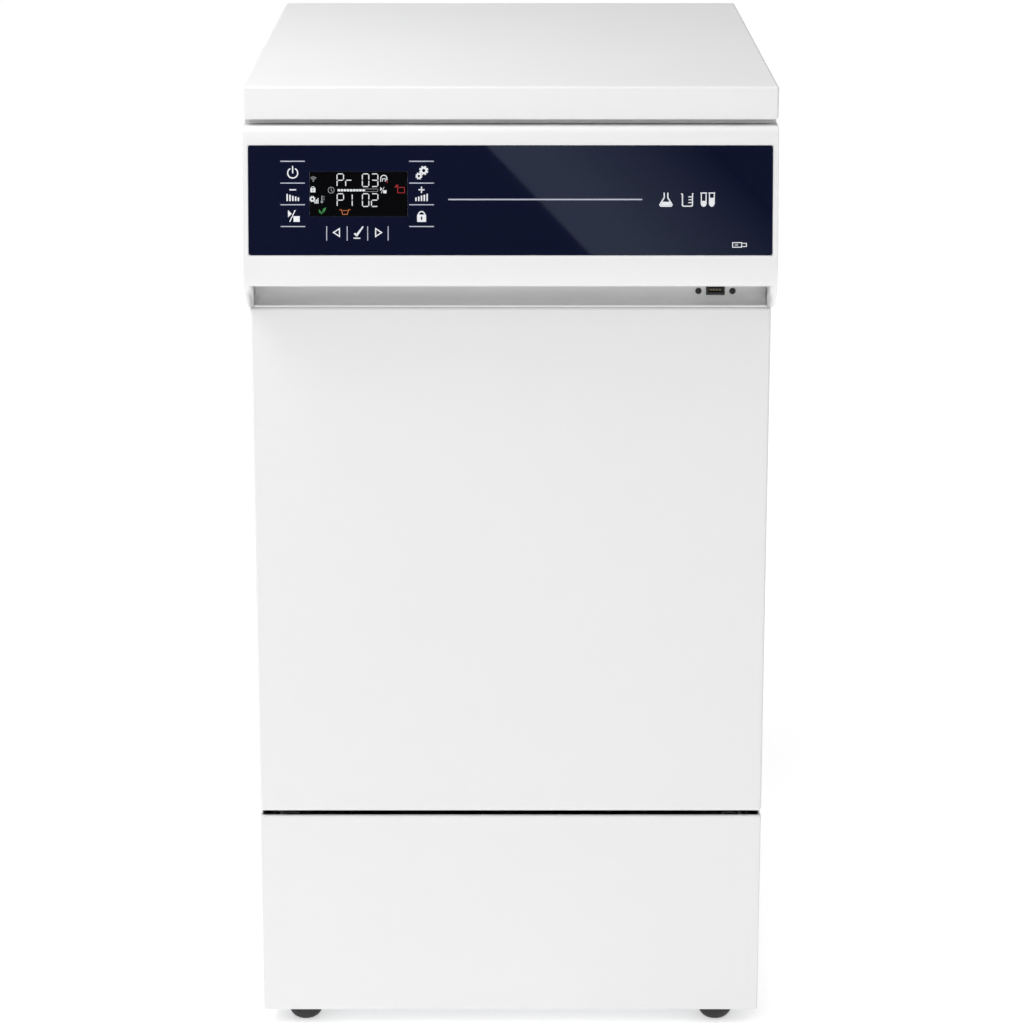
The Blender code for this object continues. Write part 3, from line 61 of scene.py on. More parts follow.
# ---------------------------------------------------------------- materials
class Nodes:
    """A material's node tree, with short calls for the nodes used here."""

    def __init__(self, name):
        self.material = bpy.data.materials.new(name)
        self.material.use_nodes = True
        self.tree = self.material.node_tree
        self.shader = self.tree.nodes["Principled BSDF"]
        self.place = self.tree.nodes.new("ShaderNodeTexCoord").outputs["Object"]

    def add(self, kind, **settings):
        node = self.tree.nodes.new(kind)
        for key, value in settings.items():
            setattr(node, key, value)
        return node

    def link(self, a, b):
        self.tree.links.new(a, b)

    def stretched(self, scale):
        mapping = self.add("ShaderNodeMapping")
        mapping.inputs["Scale"].default_value = scale
        self.link(self.place, mapping.inputs["Vector"])
        return mapping.outputs["Vector"]

    def noise(self, scale, detail=3.0, roughness=0.55, vector=None):
        node = self.add("ShaderNodeTexNoise")
        node.inputs["Scale"].default_value = scale
        node.inputs["Detail"].default_value = detail
        node.inputs["Roughness"].default_value = roughness
        self.link(vector or self.place, node.inputs["Vector"])
        return node.outputs["Fac"]

    def between(self, factor, low, high, start=0.3, end=0.7):
        """A number that runs from low to high as the factor does from start to end."""
        node = self.add("ShaderNodeMapRange")
        for key, value in (("From Min", start), ("From Max", end), ("To Min", low), ("To Max", high)):
            node.inputs[key].default_value = value
        self.link(factor, node.inputs["Value"])
        return node.outputs["Result"]

    def colours(self, factor, first, second, start=0.3, end=0.7):
        node = self.add("ShaderNodeValToRGB")
        ramp = node.color_ramp
        ramp.elements[0].position, ramp.elements[1].position = start, end
        ramp.elements[0].color, ramp.elements[1].color = (*first, 1), (*second, 1)
        self.link(factor, node.inputs["Fac"])
        return node.outputs["Color"]

    def bump(self, height, strength, distance, normal=None):
        node = self.add("ShaderNodeBump")
        node.inputs["Strength"].default_value = strength
        node.inputs["Distance"].default_value = distance
        self.link(height, node.inputs["Height"])
        if normal is not None:
            self.link(normal, node.inputs["Normal"])
        return node.outputs["Normal"]


def scaled(colour, share):
    return tuple(min(1.0, c * share) for c in colour)


def plain(
    name, colour, roughness, metallic=0.0, tint=0.03, grain=900.0, depth=0.1, rough_spread=0.05, **sockets
):
    """A finish with a faint drift of colour, uneven gloss and a fine surface grain."""
    n = Nodes(name)
    drift = n.colours(n.noise(7.0), scaled(colour, 1 - tint), scaled(colour, 1 + tint))
    n.link(drift, n.shader.inputs["Base Color"])
    gloss = n.between(n.noise(23.0), max(0.01, roughness - rough_spread), roughness + rough_spread)
    n.link(gloss, n.shader.inputs["Roughness"])
    n.link(n.bump(n.noise(grain, 2.0), depth, 0.0001), n.shader.inputs["Normal"])
    n.shader.inputs["Metallic"].default_value = metallic
    for key, value in sockets.items():
        n.shader.inputs[key.replace("_", " ")].default_value = value
    return n.material


def painted(name, colour, roughness=0.36):
    """White stove enamel: a soft orange peel under a thin gloss."""
    n = Nodes(name)
    n.link(n.colours(n.noise(3.0), scaled(colour, 0.988), scaled(colour, 1.0)), n.shader.inputs["Base Color"])
    n.link(n.between(n.noise(31.0), roughness - 0.03, roughness + 0.03), n.shader.inputs["Roughness"])
    peel = n.bump(n.noise(420.0, 1.0), 0.05, 0.0002)
    n.link(n.bump(n.noise(2600.0, 1.0), 0.03, 0.00005, peel), n.shader.inputs["Normal"])
    n.shader.inputs["Coat Weight"].default_value = 0.10
    n.shader.inputs["Coat Roughness"].default_value = 0.22
    return n.material


def brushed(name, colour, roughness, scale, strength=0.18):
    """Metal brushed along the axis whose scale is smallest."""
    n = Nodes(name)
    lines = n.noise(1.0, 4.0, 0.6, n.stretched(scale))
    n.link(n.colours(lines, scaled(colour, 0.86), scaled(colour, 1.06)), n.shader.inputs["Base Color"])
    n.link(n.between(lines, roughness - 0.07, roughness + 0.10), n.shader.inputs["Roughness"])
    n.link(n.bump(lines, strength, 0.00008), n.shader.inputs["Normal"])
    n.shader.inputs["Metallic"].default_value = 1.0
    return n.material


def galvanised(name, colour, roughness):
    """Zinc spangle: patches of slightly different grey and gloss."""
    n = Nodes(name)
    spangle = n.add("ShaderNodeTexVoronoi")
    spangle.inputs["Scale"].default_value = 160.0
    n.link(n.place, spangle.inputs["Vector"])
    patches = spangle.outputs["Color"]
    shades = n.colours(patches, scaled(colour, 0.84), scaled(colour, 1.10), 0.1, 0.9)
    n.link(shades, n.shader.inputs["Base Color"])
    gloss = n.between(patches, roughness - 0.08, roughness + 0.10, 0.1, 0.9)
    n.link(gloss, n.shader.inputs["Roughness"])
    n.link(n.bump(n.noise(600.0), 0.08, 0.0001), n.shader.inputs["Normal"])
    n.shader.inputs["Metallic"].default_value = 1.0
    return n.material


def perforated(name, colour, pitch):
    """Steel sheet with round holes in straight rows; each hole is painted near-black as painted shade, not
    cut through.
    """
    n = Nodes(name)
    parts = n.add("ShaderNodeSeparateXYZ")
    n.link(n.place, parts.inputs[0])
    squares = []
    for axis in ("X", "Y"):
        wrap = n.add("ShaderNodeMath", operation="PINGPONG")
        wrap.inputs[1].default_value = pitch / 2
        n.link(parts.outputs[axis], wrap.inputs[0])
        square = n.add("ShaderNodeMath", operation="POWER")
        square.inputs[1].default_value = 2.0
        n.link(wrap.outputs[0], square.inputs[0])
        squares.append(square.outputs[0])
    total = n.add("ShaderNodeMath", operation="ADD")
    n.link(squares[0], total.inputs[0])
    n.link(squares[1], total.inputs[1])
    root = n.add("ShaderNodeMath", operation="SQRT")
    n.link(total.outputs[0], root.inputs[0])
    hole = n.between(root.outputs[0], 0.0, 1.0, pitch * 0.27, pitch * 0.33)
    # painted shade: the holes are coloured near-black to stand for the dark seen through real openings
    n.link(n.colours(hole, (0.01, 0.01, 0.01), colour, 0.0, 1.0), n.shader.inputs["Base Color"])
    n.link(n.between(hole, 0.9, 0.3, 0.0, 1.0), n.shader.inputs["Roughness"])
    n.link(n.bump(hole, 0.6, 0.0004), n.shader.inputs["Normal"])
    n.shader.inputs["Metallic"].default_value = 0.9
    return n.material


def glowing(name, colour, strength):
    """A lit surface, for the display's marks and the studio's wall."""
    made = bpy.data.materials.new(name)
    made.use_nodes = True
    shader = made.node_tree.nodes["Principled BSDF"]
    shader.inputs["Base Color"].default_value = (*colour, 1)
    shader.inputs["Roughness"].default_value = 0.4
    shader.inputs["Emission Color"].default_value = (*colour, 1)
    shader.inputs["Emission Strength"].default_value = strength
    return made


WHITE = (0.80, 0.80, 0.80)
M = {
    "enamel": painted("white_enamel", WHITE),
    "worktop": plain(
        "worktop_laminate", (0.82, 0.82, 0.82), 0.50, tint=0.004, grain=1600.0, depth=0.03, rough_spread=0.02
    ),
    "console": plain("console_plastic", (0.82, 0.82, 0.82), 0.38, tint=0.008, grain=1400.0, depth=0.05),
    "recess": plain("recess_plastic", (0.80, 0.80, 0.80), 0.38, tint=0.012, grain=1400.0, depth=0.06),
    "fascia": plain(
        "fascia_film",
        (0.0036, 0.0056, 0.0215),
        0.020,
        tint=0.05,
        grain=700.0,
        depth=0.001,
        rough_spread=0.004,
        Specular_IOR_Level=0.5,
    ),
    "lens": plain("display_glass", (0.0012, 0.0013, 0.0016), 0.07, tint=0.02, depth=0.0, rough_spread=0.015),
    "print": plain("printed_white", (0.78, 0.79, 0.82), 0.5, tint=0.02, depth=0.02),
    "line": plain("printed_line", (0.46, 0.48, 0.56), 0.5, tint=0.02, depth=0.02),
    "steel": brushed("brushed_steel", (0.62, 0.62, 0.61), 0.30, (6.0, 900.0, 900.0)),
    "steel_tub": brushed("tub_steel", (0.60, 0.60, 0.59), 0.27, (700.0, 5.0, 700.0), 0.12),
    "wire": plain("drawn_wire", (0.66, 0.66, 0.66), 0.20, 1.0, tint=0.03, grain=1500.0, depth=0.04),
    "zinc": galvanised("zinc_sheet", (0.56, 0.57, 0.58), 0.42),
    "spring": plain("spring_wire", (0.42, 0.42, 0.44), 0.30, 1.0, grain=1800.0, depth=0.1),
    "bolt": plain("plated_screw", (0.58, 0.58, 0.57), 0.28, 1.0, grain=1500.0, depth=0.06),
    "rubber": plain("black_rubber", (0.018, 0.018, 0.019), 0.62, tint=0.15, grain=1300.0, depth=0.25),
    "gasket": plain("grey_seal", (0.055, 0.056, 0.06), 0.55, tint=0.10, grain=900.0, depth=0.2),
    "black": plain("black_plastic", (0.016, 0.016, 0.017), 0.42, tint=0.10, grain=1500.0, depth=0.2),
    "grey": plain("grey_plastic", (0.30, 0.31, 0.33), 0.45, tint=0.03, grain=1300.0, depth=0.15),
    "pale": plain("pale_plastic", (0.62, 0.63, 0.64), 0.42, tint=0.02, grain=1300.0, depth=0.12),
    "blue": plain("blue_plastic", (0.035, 0.16, 0.46), 0.35, tint=0.04, grain=1300.0, depth=0.12),
    "board": plain("solder_mask", (0.012, 0.12, 0.05), 0.35, tint=0.15, grain=500.0, depth=0.2),
    "gold": plain("gold_contact", (0.75, 0.53, 0.20), 0.25, 1.0, grain=1500.0, depth=0.05),
    "mesh": perforated("filter_holes", (0.58, 0.58, 0.57), 0.0032),
    "light_white": glowing("display_white", (0.55, 0.57, 0.58), 0.35),
    "light_grey": glowing("display_grey", (0.20, 0.21, 0.22), 0.30),
    "light_green": glowing("display_green", (0.02, 0.14, 0.035), 0.4),
    "light_orange": glowing("display_orange", (0.30, 0.09, 0.03), 0.4),
    "light_red": glowing("display_red", (0.22, 0.008, 0.010), 0.4),
}


# ---------------------------------------------------------------- CAD nodes
def modifier(obj, kind, **settings):
    made = obj.modifiers.new(kind.title(), kind)
    for key, value in settings.items():
        setattr(made, key, value)
    return made


def dress(name, finish, edge=0.0, segments=2, angle=28):
    """Gives a CAD node its material, joins its split vertices and softens its edges."""
    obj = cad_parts[name]
    obj.data.materials.clear()
    obj.data.materials.append(finish)
    normals = obj.data.attributes.get("custom_normal")
    if normals is not None:
        obj.data.attributes.remove(normals)
    obj.data.polygons.foreach_set("use_smooth", [True] * len(obj.data.polygons))
    sharp = obj.data.attributes.get("sharp_edge")
    if sharp is not None:
        obj.data.attributes.remove(sharp)
    modifier(obj, "WELD", merge_threshold=0.000005)
    modifier(obj, "DECIMATE", decimate_type="DISSOLVE", angle_limit=math.radians(0.3))
    if edge:
        modifier(
            obj, "BEVEL", width=edge, segments=segments, limit_method="ANGLE", angle_limit=math.radians(angle)
        )
    modifier(obj, "WEIGHTED_NORMAL", weight=80, keep_sharp=False)
    return obj


DRESSED = {
    "worktop": ("worktop", 0.0),
    "side_panel_left": ("enamel", 0.0003),
    "side_panel_right": ("enamel", 0.0003),
    "plinth_panel": ("enamel", 0.0003),
    "door_outer_panel": ("enamel", 0.0003),
    "rear_panel": ("zinc", 0.0003),
    "rear_service_plate": ("zinc", 0.0003),
    "base_tray": ("zinc", 0.0003),
    "hinge_frame_left": ("zinc", 0.0004),
    "hinge_frame_right": ("zinc", 0.0004),
    "hinge_arm_left": ("zinc", 0.0005),
    "hinge_arm_right": ("zinc", 0.0005),
    "tub": ("steel_tub", 0.0003),
    "tub_gasket": ("gasket", 0.0020),
    "sump": ("grey", 0.0006),
    "filter_plate": ("mesh", 0.0003),
    "filter_cup": ("grey", 0.0004),
    "spray_hub": ("grey", 0.0005),
    "upper_feed_pipe": ("steel", 0.0004),
    "wash_pump": ("grey", 0.0012),
    "drain_pump": ("black", 0.0012),
    "water_inlet_valve": ("pale", 0.0006),
    "cable_gland": ("black", 0.0006),
    "rack_rail_left": ("steel", 0.0003),
    "rack_rail_right": ("steel", 0.0003),
    "rack_runner_left": ("steel", 0.0),
    "rack_runner_right": ("steel", 0.0),
    "upper_rack_manifold": ("grey", 0.0004),
    "pump_impeller": ("black", 0.0003),
    "door_lock_case": ("black", 0.0008),
    "door_lock_bolt": ("bolt", 0.0006),
    "door_strike": ("steel", 0.0003),
    "door_inner_liner": ("steel", 0.0003),
    "dispenser_body": ("pale", 0.0005),
    "dispenser_lid": ("grey", 0.0),
    "rinse_aid_cap": ("blue", 0.0006),
    "console_housing": ("console", 0.0),
    "console_fascia": ("fascia", 0.0002),
    "display_window": ("lens", 0.0001),
    "control_board": ("board", 0.0002),
    "usb_port": ("black", 0.0002),
    "upper_spray_arm": ("grey", 0.0),
    "lower_spray_arm": ("grey", 0.0),
}
for node_name, (finish_name, edge_width) in DRESSED.items():
    dress(node_name, M[finish_name], edge_width)
for node_name in ("front_left", "front_right", "rear_left", "rear_right"):
    dress("rack_wheel_" + node_name, M["pale"], 0.0004)


# ---------------------------------------------------------------- building pieces
def piece(name, shape, finish, body, flat=False):
    """A mesh piece from a bmesh, riding on a body."""
    bmesh.ops.recalc_face_normals(shape, faces=shape.faces)
    mesh = bpy.data.meshes.new(name)
    shape.to_mesh(mesh)
    shape.free()
    if not flat:
        mesh.shade_smooth()
        mesh.set_sharp_from_angle(angle=math.radians(40))
    mesh.materials.append(finish)
    obj = bpy.data.objects.new(name, mesh)
    bpy.context.scene.collection.objects.link(obj)
    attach(obj, body)
    return obj


def lathe_into(shape, profile, origin, axis, steps=32):
    """Adds a profile of (radius, height) points turned about an axis. Both ends lie on the axis."""
    turn = Vector((0, 0, 1)).rotation_difference(Vector(axis)).to_matrix()
    rings = []
    for radius, height in profile:
        if radius < 1e-7:
            rings.append([shape.verts.new(turn @ Vector((0, 0, height)) + Vector(origin))])
            continue
        ring = []
        for i in range(steps):
            angle = 2 * math.pi * i / steps
            local = Vector((radius * math.cos(angle), radius * math.sin(angle), height))
            ring.append(shape.verts.new(turn @ local + Vector(origin)))
        rings.append(ring)
    for a, b in zip(rings, rings[1:]):
        for i in range(steps):
            j = (i + 1) % steps
            if len(a) == 1 and len(b) == 1:
                continue
            if len(a) == 1:
                shape.faces.new((a[0], b[i], b[j]))
            elif len(b) == 1:
                shape.faces.new((a[i], a[j], b[0]))
            else:
                shape.faces.new((a[i], a[j], b[j], b[i]))
    if len(rings[0]) > 1:
        shape.faces.new(rings[0])
    if len(rings[-1]) > 1:
        shape.faces.new(rings[-1])


def block_into(shape, low, high, edge=0.0, matrix=None):
    """Adds a box with small chamfered edges."""
    low, high = Vector(low), Vector(high)
    part = bmesh.new()
    bmesh.ops.create_cube(part, size=1.0)
    bmesh.ops.scale(part, vec=high - low, verts=part.verts)
    bmesh.ops.translate(part, vec=(low + high) / 2, verts=part.verts)
    if edge:
        bmesh.ops.bevel(part, geom=part.edges[:], offset=edge, segments=2, profile=0.6, affect="EDGES")
    if matrix is not None:
        bmesh.ops.transform(part, matrix=matrix, verts=part.verts)
    merge_into(shape, part)


def merge_into(shape, part):
    mesh = bpy.data.meshes.new("merge")
    part.to_mesh(mesh)
    part.free()
    shape.from_mesh(mesh)
    bpy.data.meshes.remove(mesh)


def rounded_path(points, radius, steps=5, closed=False):
    """The points with each corner replaced by an arc-like bend."""
    points = [Vector(p) for p in points]
    count = len(points)
    made = []
    for i, corner in enumerate(points):
        if not closed and i in (0, count - 1):
            made.append(corner)
            continue
        before, after = points[i - 1], points[(i + 1) % count]
        start = corner + (before - corner).normalized() * radius
        end = corner + (after - corner).normalized() * radius
        for k in range(steps + 1):
            t = k / steps
            made.append(start * (1 - t) ** 2 + corner * 2 * t * (1 - t) + end * t * t)
    return made


def wires(name, runs, finish, body, sides=10):
    """One curve piece of round wires. Each run is (points, radius, closed)."""
    curve = bpy.data.curves.new(name, "CURVE")
    curve.dimensions = "3D"
    curve.bevel_depth = 1.0
    curve.bevel_resolution = (sides - 4) // 2
    curve.use_fill_caps = True
    for points, radius, closed in runs:
        spline = curve.splines.new("POLY")
        spline.points.add(len(points) - 1)
        for spot, place in zip(spline.points, points):
            spot.co = (*place, 1)
            spot.radius = radius
        spline.use_cyclic_u = closed
        spline.use_smooth = True
    curve.materials.append(finish)
    helper = bpy.data.objects.new(name + "_curve", curve)
    bpy.context.scene.collection.objects.link(helper)
    graph = bpy.context.evaluated_depsgraph_get()
    mesh = bpy.data.meshes.new_from_object(helper.evaluated_get(graph))
    bpy.data.objects.remove(helper)
    mesh.name = name
    shape = bmesh.new()
    shape.from_mesh(mesh)
    bmesh.ops.remove_doubles(shape, verts=shape.verts, dist=0.000002)
    shape.to_mesh(mesh)
    shape.free()
    mesh.shade_smooth()
    mesh.set_sharp_from_angle(angle=math.radians(60))
    obj = bpy.data.objects.new(name, mesh)
    bpy.context.scene.collection.objects.link(obj)
    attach(obj, body)
    return obj


# ---------------------------------------------------------------- fascia graphics
FRONT_FOOT_BULGE, FRONT_HEAD_BULGE = 0.032, 0.014  # the slanted front ahead of the door's face
FRONT_FOOT_Z, FRONT_HEAD_Z = 0.708, 0.812
FASCIA_TILT = math.atan2(FRONT_FOOT_BULGE - FRONT_HEAD_BULGE, FRONT_HEAD_Z - FRONT_FOOT_Z)
FASCIA_TOP_Z, FASCIA_BOTTOM_Z = 0.8016, 0.7114
FASCIA_LENGTH = (FASCIA_TOP_Z - FASCIA_BOTTOM_Z) / math.cos(FASCIA_TILT)


def slant_y(z):
    """Where the slanted front stands at height z."""
    share = (z - FRONT_FOOT_Z) / (FRONT_HEAD_Z - FRONT_FOOT_Z)
    return DOOR_Y - (FRONT_FOOT_BULGE + (FRONT_HEAD_BULGE - FRONT_FOOT_BULGE) * share)


fascia_middle_z = (FASCIA_TOP_Z + FASCIA_BOTTOM_Z) / 2
FASCIA = Matrix.Translation((0, slant_y(fascia_middle_z), fascia_middle_z)) @ Matrix.Rotation(
    math.pi / 2 - FASCIA_TILT, 4, "X"
)
FACE_LIFT = 0.0002  # the film's face above the slanted plane
LENS_LIFT = 0.0001
INK = 0.00005  # the print's thickness
INK_SUNK = 0.00002  # and how far it reaches into the face
LEFT_KEYS, RIGHT_KEYS = -182.6, -74.6  # middles of the key columns, in the graphics' own millimetres


class Ink:
    """Flat shapes printed on the slanted fascia, in millimetres.

    u runs from the fascia's middle to the right, v down from its top edge.
    """

    def __init__(self, lift):
        self.shape = bmesh.new()
        self.lift = lift

    def spot(self, u, v, height):
        return self.shape.verts.new((u * MM, FASCIA_LENGTH / 2 - v * MM, height))

    def prism(self, outline):
        low = [self.spot(u, v, self.lift - INK_SUNK) for u, v in outline]
        high = [self.spot(u, v, self.lift + INK) for u, v in outline]
        self.shape.faces.new(low)
        self.shape.faces.new(high)
        for i in range(len(outline)):
            j = (i + 1) % len(outline)
            self.shape.faces.new((low[i], low[j], high[j], high[i]))

    def stroke(self, points, width, closed=False):
        """A line of even width with mitred corners."""
        points = [Vector(p) for p in points]
        count = len(points)
        left, right = [], []
        for i, point in enumerate(points):
            before = points[i - 1] if closed or i else None
            after = points[(i + 1) % count] if closed or i < count - 1 else None
            ways = [(point - before).normalized()] if before is not None else []
            ways += [(after - point).normalized()] if after is not None else []
            way = sum(ways, Vector((0, 0))).normalized()
            side = Vector((-way.y, way.x))
            reach = width / 2 / max(0.4, abs(side.dot(Vector((-ways[0].y, ways[0].x)))))
            left.append(point + side * reach)
            right.append(point - side * reach)
        under, over = self.lift - INK_SUNK, self.lift + INK
        spots = []
        for a, b in zip(left, right):
            section = ((a, under), (b, under), (b, over), (a, over))
            spots.append([self.spot(*place, height) for place, height in section])
        last = count if closed else count - 1
        for i in range(last):
            here, there = spots[i], spots[(i + 1) % count]
            for k in range(4):
                self.shape.faces.new((here[k], here[(k + 1) % 4], there[(k + 1) % 4], there[k]))
        if not closed:
            self.shape.faces.new(spots[0])
            self.shape.faces.new(spots[-1])

    def circle(self, u, v, radius, width, start=0, end=360, steps=20):
        whole = abs(end - start) >= 360
        count = steps if whole else steps + 1
        points = []
        for i in range(count):
            angle = math.radians(start + (end - start) * i / steps)
            points.append((u + radius * math.cos(angle), v + radius * math.sin(angle)))
        self.stroke(points, width, whole)

    def disc(self, u, v, radius, steps=14):
        angles = [2 * math.pi * i / steps for i in range(steps)]
        self.prism([(u + radius * math.cos(a), v + radius * math.sin(a)) for a in angles])

    def bar(self, u, v, width, height):
        self.prism([(u, v), (u + width, v), (u + width, v + height), (u, v + height)])

    def done(self, name, finish):
        bmesh.ops.transform(self.shape, matrix=FASCIA, verts=self.shape.verts)
        return piece(name, self.shape, finish, "door", flat=True)


def fascia_lines():
    """Rules above and below the keys, ticks between the lower keys, and the long line."""
    ink = Ink(FACE_LIFT)
    for v in (13.1, 31.3, 49.4, 67.6):
        ink.stroke([(LEFT_KEYS - 10.3, v), (LEFT_KEYS + 10.2, v)], 0.85)
        ink.stroke([(RIGHT_KEYS - 10.4, v), (RIGHT_KEYS + 10.4, v)], 0.85)
    for i in range(4):
        u = -154.3 + i * 17.2
        ink.stroke([(u, 67.4), (u, 79.4)], 0.75)
    ink.stroke([(-52.2, 45.0), (110.5, 45.0)], 1.15)
    ink.done("fascia_rules", M["line"])


def level_bars(ink, u, v, heights):
    """Five bars standing on one line, the sign of a setting that goes down or up."""
    for i, tall in enumerate(heights):
        ink.bar(u + (i - 2) * 2.35 - 0.62, v - tall, 1.24, tall)


def gear(ink, u, v, radius, teeth=8):
    """A toothed ring with an open middle."""
    ink.circle(u, v, radius * 0.62, radius * 0.46, steps=24)
    for i in range(teeth):
        angle = 2 * math.pi * (i + 0.5) / teeth
        way = Vector((math.cos(angle), math.sin(angle)))
        middle = Vector((u, v))
        ink.stroke([middle + way * radius * 0.78, middle + way * radius * 1.08], radius * 0.42)


def padlock(ink, u, v, size):
    """A closed padlock with its keyhole left open in the body."""
    wide, tall, hole = size * 0.62, size, size * 0.10
    ink.prism([(u - wide, v), (u - hole, v), (u - hole, v + tall), (u - wide, v + tall)])
    ink.prism([(u + hole, v), (u + wide, v), (u + wide, v + tall), (u + hole, v + tall)])
    ink.bar(u - hole, v, hole * 2, tall * 0.28)
    ink.bar(u - hole, v + tall * 0.72, hole * 2, tall * 0.28)
    ink.circle(u, v + 0.1, size * 0.42, size * 0.17, 180, 360, 12)


def start_stop(ink, u, v, size):
    """A solid triangle, a slash and a solid square."""
    ink.prism([(u - size, v - size), (u - size * 0.35, v - size * 0.38), (u - size, v + size * 0.24)])
    ink.stroke([(u + size * 0.24, v - size), (u - size * 0.72, v + size)], size * 0.17)
    ink.bar(u - size * 0.06, v + size * 0.02, size * 1.06, size * 0.98)


FLASK = [
    (-2.1, -5.2), (-1.5, -5.2), (-1.5, -1.6), (-5.2, 4.4), (-4.4, 5.6),
    (4.4, 5.6), (5.2, 4.4), (1.5, -1.6), (1.5, -5.2), (2.1, -5.2),
]
FLASK_FILL = [(-3.0, 1.9), (-4.3, 4.3), (-3.9, 5.0), (3.9, 5.0), (4.3, 4.3), (3.0, 1.9)]
FLASK_U = -18.0  # from the beaker's middle
BEAKER = [
    (-5.2, -5.0), (-4.2, -4.2), (-4.2, 4.8), (-3.4, 5.6), (3.4, 5.6), (4.2, 4.8), (4.2, -4.6), (4.8, -5.2),
]
TUBE = [(-2.0, -5.2), (-2.0, 3.6), (-1.4, 5.0), (0, 5.7), (1.4, 5.0), (2.0, 3.6), (2.0, -5.2)]
TUBE_BOTTOM = [(-1.6, 3.6), (-1.1, 4.7), (0, 5.2), (1.1, 4.7), (1.6, 3.6)]


def glassware(ink, u, v):
    """A flask, a beaker and two tubes: a plain sign for laboratory glass."""

    def placed(outline, offset=0.0):
        return [(u + offset + a, v + b) for a, b in outline]

    ink.stroke(placed(FLASK, FLASK_U), 1.0)
    ink.prism(placed(FLASK_FILL, FLASK_U))
    ink.stroke(placed(BEAKER), 1.0)
    for rise in (2.6, 0.2, -2.2):
        ink.stroke([(u + 0.8, v + rise), (u + 3.6, v + rise)], 0.8)
    for offset, fill in ((13.6, 1.2), (20.4, -1.4)):
        ink.stroke(placed(TUBE, offset), 0.9)
        ink.prism(placed([(-1.6, fill), *TUBE_BOTTOM, (1.6, fill)], offset))
        ink.stroke([(u + offset - 2.8, v - 5.4), (u + offset + 2.8, v - 5.4)], 0.9)


def fascia_icons():
    """The signs of the touch keys, the socket's mark and the sign for laboratory glass."""
    ink = Ink(FACE_LIFT)
    # Power
    ink.circle(LEFT_KEYS, 22.9, 4.2, 1.05, -62, 242, 26)
    ink.stroke([(LEFT_KEYS, 17.0), (LEFT_KEYS, 23.2)], 1.05)
    # Fewer and more
    ink.stroke([(LEFT_KEYS - 2.8, 36.9), (LEFT_KEYS + 2.8, 36.9)], 1.0)
    ink.stroke([(RIGHT_KEYS - 2.5, 36.9), (RIGHT_KEYS + 2.5, 36.9)], 1.0)
    ink.stroke([(RIGHT_KEYS, 34.3), (RIGHT_KEYS, 39.5)], 1.0)
    falling = [6.0 - 0.75 * i for i in range(5)]
    level_bars(ink, LEFT_KEYS, 46.3, falling)
    level_bars(ink, RIGHT_KEYS, 46.3, falling[::-1])
    start_stop(ink, LEFT_KEYS + 0.8, 58.8, 4.9)
    gear(ink, RIGHT_KEYS + 1.9, 20.8, 3.6)
    gear(ink, RIGHT_KEYS - 2.2, 25.4, 2.7)
    padlock(ink, RIGHT_KEYS, 57.6, 6.1)
    # Back, confirm, forward
    for u, way in ((-145.9, -1), (-110.9, 1)):
        ink.stroke([(u + way * 2.7, 72.6), (u - way * 2.3, 69.3), (u - way * 2.3, 75.9)], 0.95, True)
    ink.stroke([(-131.0, 73.3), (-129.1, 75.2)], 1.5)
    ink.prism([(-129.9, 75.9), (-128.4, 75.7), (-123.2, 67.7), (-124.2, 67.4), (-129.6, 74.0)])
    ink.stroke([(-131.8, 77.4), (-126.2, 77.4)], 0.95)
    # A memory stick marks the data socket below
    u, v = 192.6, 83.0
    ink.stroke([(u - 6.0, v - 1.9), (u + 1.6, v - 1.9), (u + 1.6, v + 1.9), (u - 6.0, v + 1.9)], 0.75, True)
    ink.stroke([(u + 1.9, v - 1.3), (u + 5.6, v - 1.3), (u + 5.6, v + 1.3), (u + 1.9, v + 1.3)], 0.65)
    ink.stroke([(u - 4.2, v), (u - 1.4, v)], 0.7)
    glassware(ink, 148.5, 45.0)
    ink.done("fascia_icons", M["print"])


SEGMENTS = {"0": "abcdef", "1": "bc", "2": "abged", "3": "abgcd", "P": "abefg", "r": "eg"}
BARS = {
    "a": ((0, 0), (1, 0)),
    "b": ((1, 0), (1, 0.5)),
    "c": ((1, 0.5), (1, 1)),
    "d": ((0, 1), (1, 1)),
    "e": ((0, 0.5), (0, 1)),
    "f": ((0, 0), (0, 0.5)),
    "g": ((0, 0.5), (1, 0.5)),
}
SEGMENT_GAP = 0.55


def seven_segment(ink, char, u, v, width=5.4, height=10.6, stroke=0.82):
    """One character of a numeric display, made of its seven bars."""
    for key in SEGMENTS[char]:
        ends = [Vector((u + a * width, v + b * height)) for a, b in BARS[key]]
        way = (ends[1] - ends[0]).normalized()
        ink.stroke([ends[0] + way * SEGMENT_GAP, ends[1] - way * SEGMENT_GAP], stroke)


DIGIT_COLUMNS = (-145.4, -138.2, -124.2, -116.6)
DIGIT_ROWS = ((23.6, "Pr03"), (40.2, "P102"))
PROGRESS_START, PROGRESS_END, PROGRESS_SHARE, PROGRESS_BLOCKS = -144.9, -111.3, 0.69, 9


